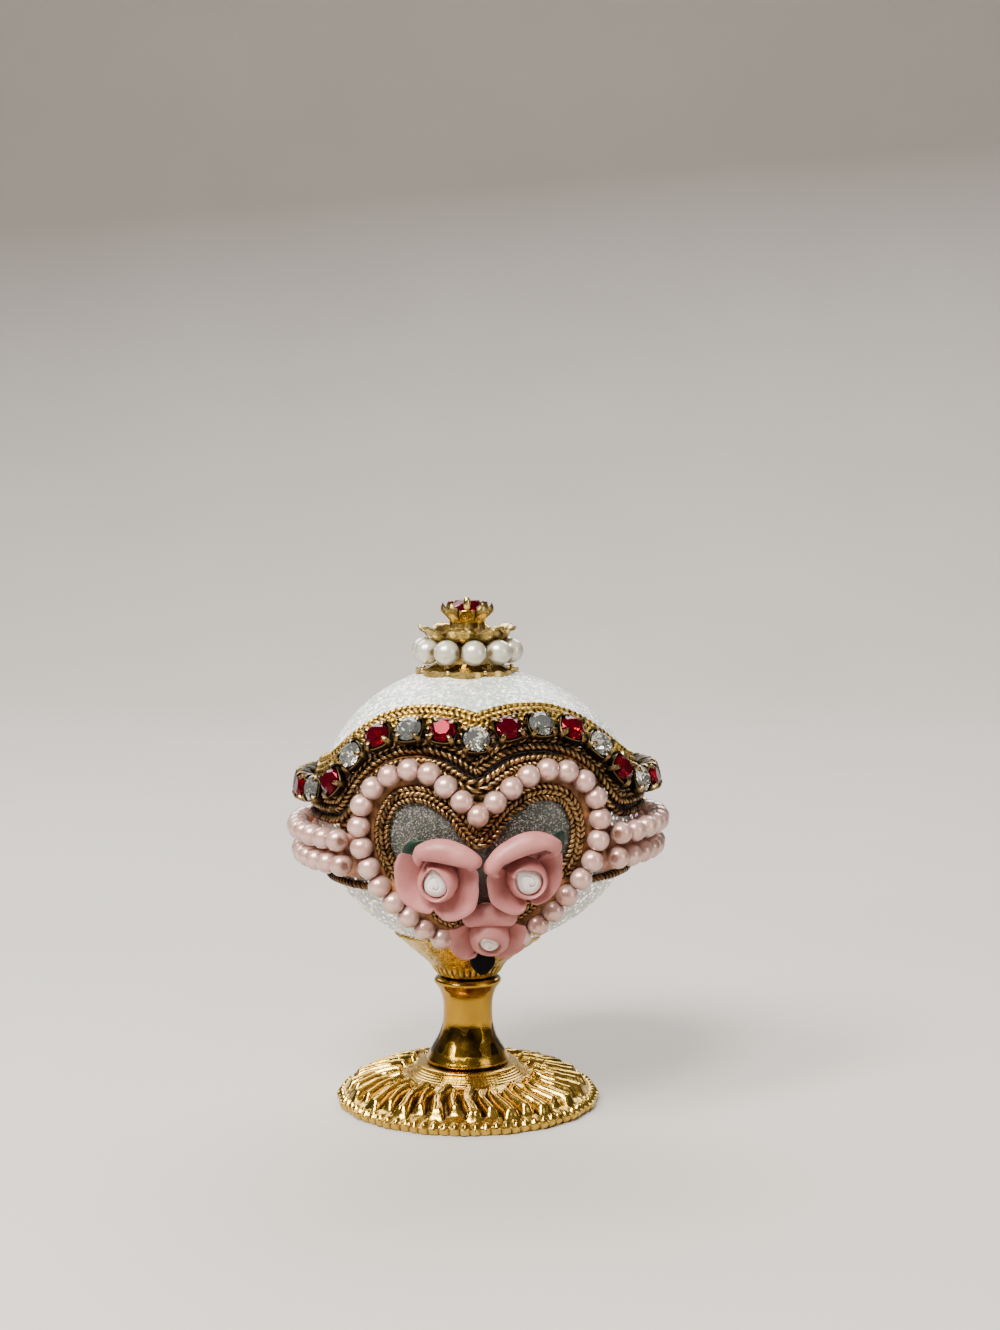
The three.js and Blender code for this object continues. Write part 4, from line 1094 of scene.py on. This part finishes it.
def make_bud(shape, place, tip, white):
    """A white teardrop bud held by one wrapped petal that overlaps itself near the tip."""
    theta = circle(96)
    tip = math.radians(tip)
    away = np.mod(theta - tip + math.pi, TURN) - math.pi
    opening = white * (1.08 + 0.55 * np.exp(-(np.abs(away) / 0.5) ** 1.5))
    wrap = np.mod(theta - tip - 0.35, TURN) / TURN

    def at(r, ahead):
        x = r * np.cos(theta) - 0.35 * math.cos(tip)
        y = r * np.sin(theta) - 0.35 * math.sin(tip)
        return place(np.hypot(x, y), np.arctan2(y, x), ahead)

    outer = 2.05 + 0.25 * wrap + 0.2 * np.cos(away)
    rim = 0.9 + 0.45 * wrap
    hood = [(1.5, -1.9), (outer, -0.9), (outer * 0.99, 0.1), (outer * 0.92, rim - 0.3),
            (0.35 * outer + 0.65 * opening, rim + 0.06),
            (0.15 * outer + 0.85 * opening, rim + 0.14), (opening, rim + 0.08),
            (opening - 0.06, rim - 0.2), (opening - 0.08, -0.2)]
    shape.grid(np.concatenate([at(r, ahead) for r, ahead in hood]), caps=True)
    q = np.linspace(0.03, 1, 24)[:, None]
    curl = np.mod(theta / TURN - 1.5 * q, 1)
    crease = np.exp(-((curl - 0.5) / 0.07) ** 2) * (1 - q) * np.sqrt(q) * 0.6
    dome = at(q * (opening - 0.03), 0.05 + 1.15 * np.sqrt(np.maximum(1 - q ** 2.2, 0)) - crease)
    # The dome is white porcelain; its creases and its edge keep the rose's darker pink as painted
    # shade.
    shape.grid(dome[::-1], hollow=np.clip(1 - 0.9 * crease - 0.5 * q ** 8, 0, 1), caps=True)


# A rose's stem: its radii, and how far behind the bud each ring below the first one lies.
STEM_RINGS, STEM_PLACES = [1.6, 1.75, 2.1, 2.6, 2.0], [-3.2, -2.2, -1.3, -1.1]


def make_rose(name, bud, depth, reach, turn, dip, tip, white, petals):
    """A rose whose bud is `depth` before the egg and whose stem goes `reach` further in."""
    axes = facing(turn, dip)
    forward = axes[2]
    foot = egg_front(bud[0] - depth * forward[0], bud[1] - depth * forward[2])
    shape = Shape()

    def place(radius, angle, ahead):
        return reach_out(foot + forward * depth, axes, radius * np.cos(angle),
                         radius * np.sin(angle), ahead)

    for seed, petal in enumerate(petals):
        make_petal(shape, place, seed, **petal)
    make_bud(shape, place, tip, white)
    rings, places = np.array([STEM_RINGS, [-reach - depth] + STEM_PLACES])[:, :, None]
    shape.grid(place(rings, circle(18), places), caps=True)
    piece(f"porcelain_{name}", shape, [ROSE_PINK], [name], smooth_angle=70)


LEAVES = {
    "leaf_left": dict(at=(-4.9, -17.15, 31.95), turn=-16, dip=-4, spin=27, length=3.9, width=2.2),
    "leaf_right": dict(at=(9.25, -16.4, 32.2), turn=30, dip=-4, spin=50, length=3.9, width=2.3),
    "leaf_bottom": dict(at=(1.8, -14.1, 19.2), turn=2, dip=-14, spin=270, length=3.4, width=2.7),
}
LEAF_THICK = 0.42


def make_leaf(name, at, turn, dip, spin, length, width):
    right, upward, forward = facing(turn, dip)
    spin = math.radians(spin)
    along = right * math.cos(spin) + upward * math.sin(spin)
    across = -right * math.sin(spin) + upward * math.cos(spin)
    u = np.linspace(-1, 1, 17)[None, :]
    v = np.linspace(0, 1, 21)[:, None]
    half = width / 2 * np.sin(math.pi * v ** 0.8) ** 0.75 + 0.01
    x = length * (v - 0.5)
    height = 0.25 - 0.9 * (v - 0.5) ** 2 + 0.3 * np.abs(u) * np.sin(math.pi * v)
    points = reach_out(np.array(at), (along, across, forward), x, half * u, height)
    vein = np.exp(-(u / 0.12) ** 2) + 0.4 * np.maximum(np.cos(16 * v + 5 * np.abs(u)), 0)
    shape = Shape()
    shape.plate(points, LEAF_THICK, hollow=np.clip(vein * 0.5, 0, 1))
    # Painted shade: the bottom leaf, lying in shade, takes the near-black copy of the leaf green.
    dark = name == "leaf_bottom"
    piece(f"porcelain_{name}", shape, [LEAF_SHADED if dark else LEAF_GREEN], [name])


# Crown

CROWN_PETALS, PETAL_TURN = 8, math.radians(-11.5)
CROWN_PEARLS, CROWN_PEARL_R, CROWN_PEARL_TURN = 10, 1.44, math.radians(9.5)
CROWN_RING_R, CROWN_RING_Z = 4.98, 51.72


def stamped_ring(shape, crest, valley, turn, thick, lobe_power=0.6, floor=False,
                 front_top=None):
    """Eight lobes stamped from one sheet, between a path over a lobe and one up a notch.
    With a floor they lie on the egg, and `front_top` cuts the front lobe down."""
    angle = circle(CROWN_PETALS * 24)
    wave = np.abs(np.cos(CROWN_PETALS / 2 * (angle - turn)))
    mix = wave ** lobe_power
    t = np.linspace(0, 1, 22)
    high, low = [bend([np.array(c, float) for c in path], t) for path in (crest, valley)]
    radius = low[:, :1] + (high[:, :1] - low[:, :1]) * mix
    height = low[:, 1:] + (high[:, 1:] - low[:, 1:]) * mix
    t = t[:, None]
    ripple = np.cos(CROWN_PETALS * 3 * (angle - turn))
    height = height - 0.07 * ripple * t ** 2 * mix
    if front_top is not None:
        front = np.cos(angle) > math.cos(math.pi / CROWN_PETALS)
        height = np.where(front, np.minimum(height, front_top), height)
    half = thick * (0.5 + 0.45 * smoothstep(0.86, 0.97, t))
    top, under = height + half, height - half
    if floor:
        ground = EGG_Z + egg_rise(radius, angle)
        top, under = np.maximum(top, ground + 0.22), ground + 0.06
    shade = np.clip(0.9 * (1 - mix) * t + 0.55 * np.sin(math.pi * t ** 1.3) * (t < 0.93), 0, 1)
    shape.grid(np.concatenate([polar(radius, angle, top), polar(radius, angle, under)[::-1]]),
               loop_rows=True, hollow=np.concatenate([shade, shade[::-1]]))


def bead(shape, r, azimuth, z, size):
    ball(shape, polar(r, azimuth, z), (Z_AXIS, X_AXIS, Y_AXIS), size, 10, 8)


def make_crown():
    base = Shape()
    stamped_ring(base, [(3.1, 50.2), (4.0, 49.75), (4.9, 49.3), (5.5, 49.2), (5.88, 49.45)],
                 [(3.1, 50.2), (3.9, 50.1), (4.5, 49.85), (4.9, 49.6), (5.2, 49.45)], 0.0, 0.22,
                 floor=True)
    bead_r = 5.4
    for i in range(CROWN_PETALS):
        turn = TURN * (i + 0.5) / CROWN_PETALS
        bead(base, bead_r, turn, EGG_Z + egg_rise(bead_r, turn) + 0.45, 0.27)
    # The boss under the petals is painted darker, as shade.
    boss = np.array([(0, 50.1), (3.12, 50.1), (3.12, 52.4), (0, 52.4)])
    lathe(base, boss, 48, hollow=0.45)
    piece("stamped_crown_base", base, [GILT_PALE], ["crown_base"], smooth_angle=50)

    pearls = Shape()
    for i in range(CROWN_PEARLS):
        turn = CROWN_PEARL_TURN + TURN * i / CROWN_PEARLS
        axes = compass(turn + TURN / 4, 0), compass(turn, 0), Z_AXIS
        ball(pearls, polar(CROWN_RING_R, turn, CROWN_RING_Z), axes, CROWN_PEARL_R, 28, 19)
    piece("ivory_pearls", pearls, [IVORY_PEARL], ["crown_pearls"])

    petals = Shape()
    stamped_ring(petals, [(0.3, 52.66), (3.0, 52.66), (4.2, 52.85), (4.9, 53.5), (5.1, 54.3),
                          (5.66, 54.42)],
                 [(0.3, 52.66), (3.0, 52.66), (3.7, 52.8), (4.2, 53.1), (4.35, 53.5), (4.6, 53.6)],
                 PETAL_TURN, 0.16, 0.55)
    piece("stamped_crown_petals", petals, [GILT_PALE], ["crown_petals"],
          smooth_angle=50)

    setting = Shape()
    neck = rounded([(0, 53.0), (2.5, 53.0), (2.42, 53.7), (2.05, 54.2), (2.0, 55.2),
                    (2.3, 55.6), (0, 55.7)])

    def ribs(points, angle, _, z):
        rib = np.abs(np.cos(4 * angle)) ** 2
        scale = 1 - 0.12 * (1 - rib) * smoothstep(53.6, 54.2, z)
        # Painted shade: the neck is dark, a little lighter on its ribs.
        return points * stack(scale, scale, 1), np.clip(1.1 - 0.5 * rib, 0, 1)

    lathe(setting, neck, 64, ribs)
    for i in range(16):
        bead(setting, 2.5, TURN * i / 16 + 0.2, 53.45 + 0.12 * math.sin(7 * i), 0.24)
    stamped_ring(setting, [(2.0, 55.0), (2.15, 55.4), (2.55, 55.8), (3.08, 56.2), (3.0, 56.6),
                           (2.82, 57.0)],
                 [(2.0, 55.0), (2.05, 55.15), (2.15, 55.3), (2.25, 55.5), (2.3, 55.6),
                  (2.34, 55.7)],
                 0.0, 0.17, 0.4, front_top=56.2)
    ball(setting, polar(2.72, 0.0, 57.1), (Z_AXIS * 2.1, -Y_AXIS, X_AXIS), 0.42, 14, 12)
    piece("claw_setting", setting, [GILT_PALE], ["crown_setting"], smooth_angle=50)
    cut_stone("cut_crown_stone", "crown_stone", True, np.zeros(3), (X_AXIS, Y_AXIS, Z_AXIS),
              **CROWN_STONE)


make_foot()
make_stem()
make_cup()
make_shells()
make_cords()
make_pearls()
make_bands()
make_rim_glue()
make_lid_glue()
make_panel()
make_chain()
for rose_name, rose in ROSES.items():
    make_rose(rose_name, **rose)
for leaf_name, leaf in LEAVES.items():
    make_leaf(leaf_name, **leaf)
make_crown()


# Floor, lights and camera

def make_sweep():
    """A pale floor that curves up into a backdrop."""
    bend_start, bend_radius, half_width = 0.4, 0.3, 2.0
    turn = np.linspace(0, math.pi / 2, 17)
    curve = [(bend_start + bend_radius * math.sin(a), bend_radius * (1 - math.cos(a)))
             for a in turn]
    side = [(-2.0, 0.0)] + curve + [(bend_start + bend_radius, 2.5)]
    points = [(x, y, z) for y, z in side for x in (-half_width, half_width)]
    faces = [(2 * i, 2 * i + 1, 2 * i + 3, 2 * i + 2) for i in range(len(side) - 1)]
    mesh = bpy.data.meshes.new("sweep")
    mesh.from_pydata(points, [], faces)
    mesh.polygons.foreach_set("use_smooth", [True] * len(mesh.polygons))
    paint = Paint("sweep_paint", Roughness=0.7)
    paint.set("Base Color", paint.mix(paint.noise(60.0), "#b1aaa2", "#bab4ac"))
    mesh.materials.append(paint.material)
    add_object("sweep", mesh)


def area_light(name, place, target, size, power, colour=(1, 1, 1)):
    light = bpy.data.lights.new(name, "AREA")
    light.shape = "RECTANGLE"
    light.size, light.size_y = size
    light.energy = power
    light.color = colour
    lamp = add_object(name, light)
    lamp.location = place
    aim = Vector(target) - Vector(place)
    lamp.rotation_euler = aim.to_track_quat("-Z", "Y").to_euler()


def make_lights():
    world = bpy.data.worlds.new("studio")
    bpy.context.scene.world = world
    world.use_nodes = True
    tree = world.node_tree
    height = tree.nodes.new("ShaderNodeSeparateXYZ")
    tree.links.new(tree.nodes.new("ShaderNodeTexCoord").outputs["Generated"], height.inputs[0])
    grade = tree.nodes.new("ShaderNodeValToRGB")
    tree.links.new(height.outputs["Z"], grade.inputs["Fac"])
    for element, (spot, colour) in zip(grade.color_ramp.elements,
                                       ((0.0, "#4c4a46"), (0.75, "#d8d6d2"))):
        element.position, element.color = spot, srgb(colour)
    tree.links.new(grade.outputs["Color"], tree.nodes["Background"].inputs["Color"])
    tree.nodes["Background"].inputs["Strength"].default_value = 0.34
    middle = (0, 0, 0.035)
    area_light("window_left", (-0.22, -0.2, 0.34), middle, (0.1, 0.17), 3.0, (1.0, 0.98, 0.94))
    area_light("window_right", (-0.08, -0.25, 0.36), middle, (0.1, 0.17), 2.6, (1.0, 0.98, 0.94))
    area_light("fill", (0.42, -0.3, 0.16), middle, (0.2, 0.3), 0.7, (1.0, 0.96, 0.9))
    area_light("back", (-0.05, 0.4, 0.46), middle, (0.9, 0.34), 8.0)


def make_camera():
    data = bpy.data.cameras.new("camera")
    data.sensor_width = 36.0
    data.lens = 57.1
    data.clip_start = 0.01
    camera = add_object("camera", data)
    camera.location = (0.0037, -0.238, 0.070)
    camera.rotation_euler = (math.radians(90 - 4.8), 0, 0)
    bpy.context.scene.camera = camera


make_sweep()
make_lights()
make_camera()
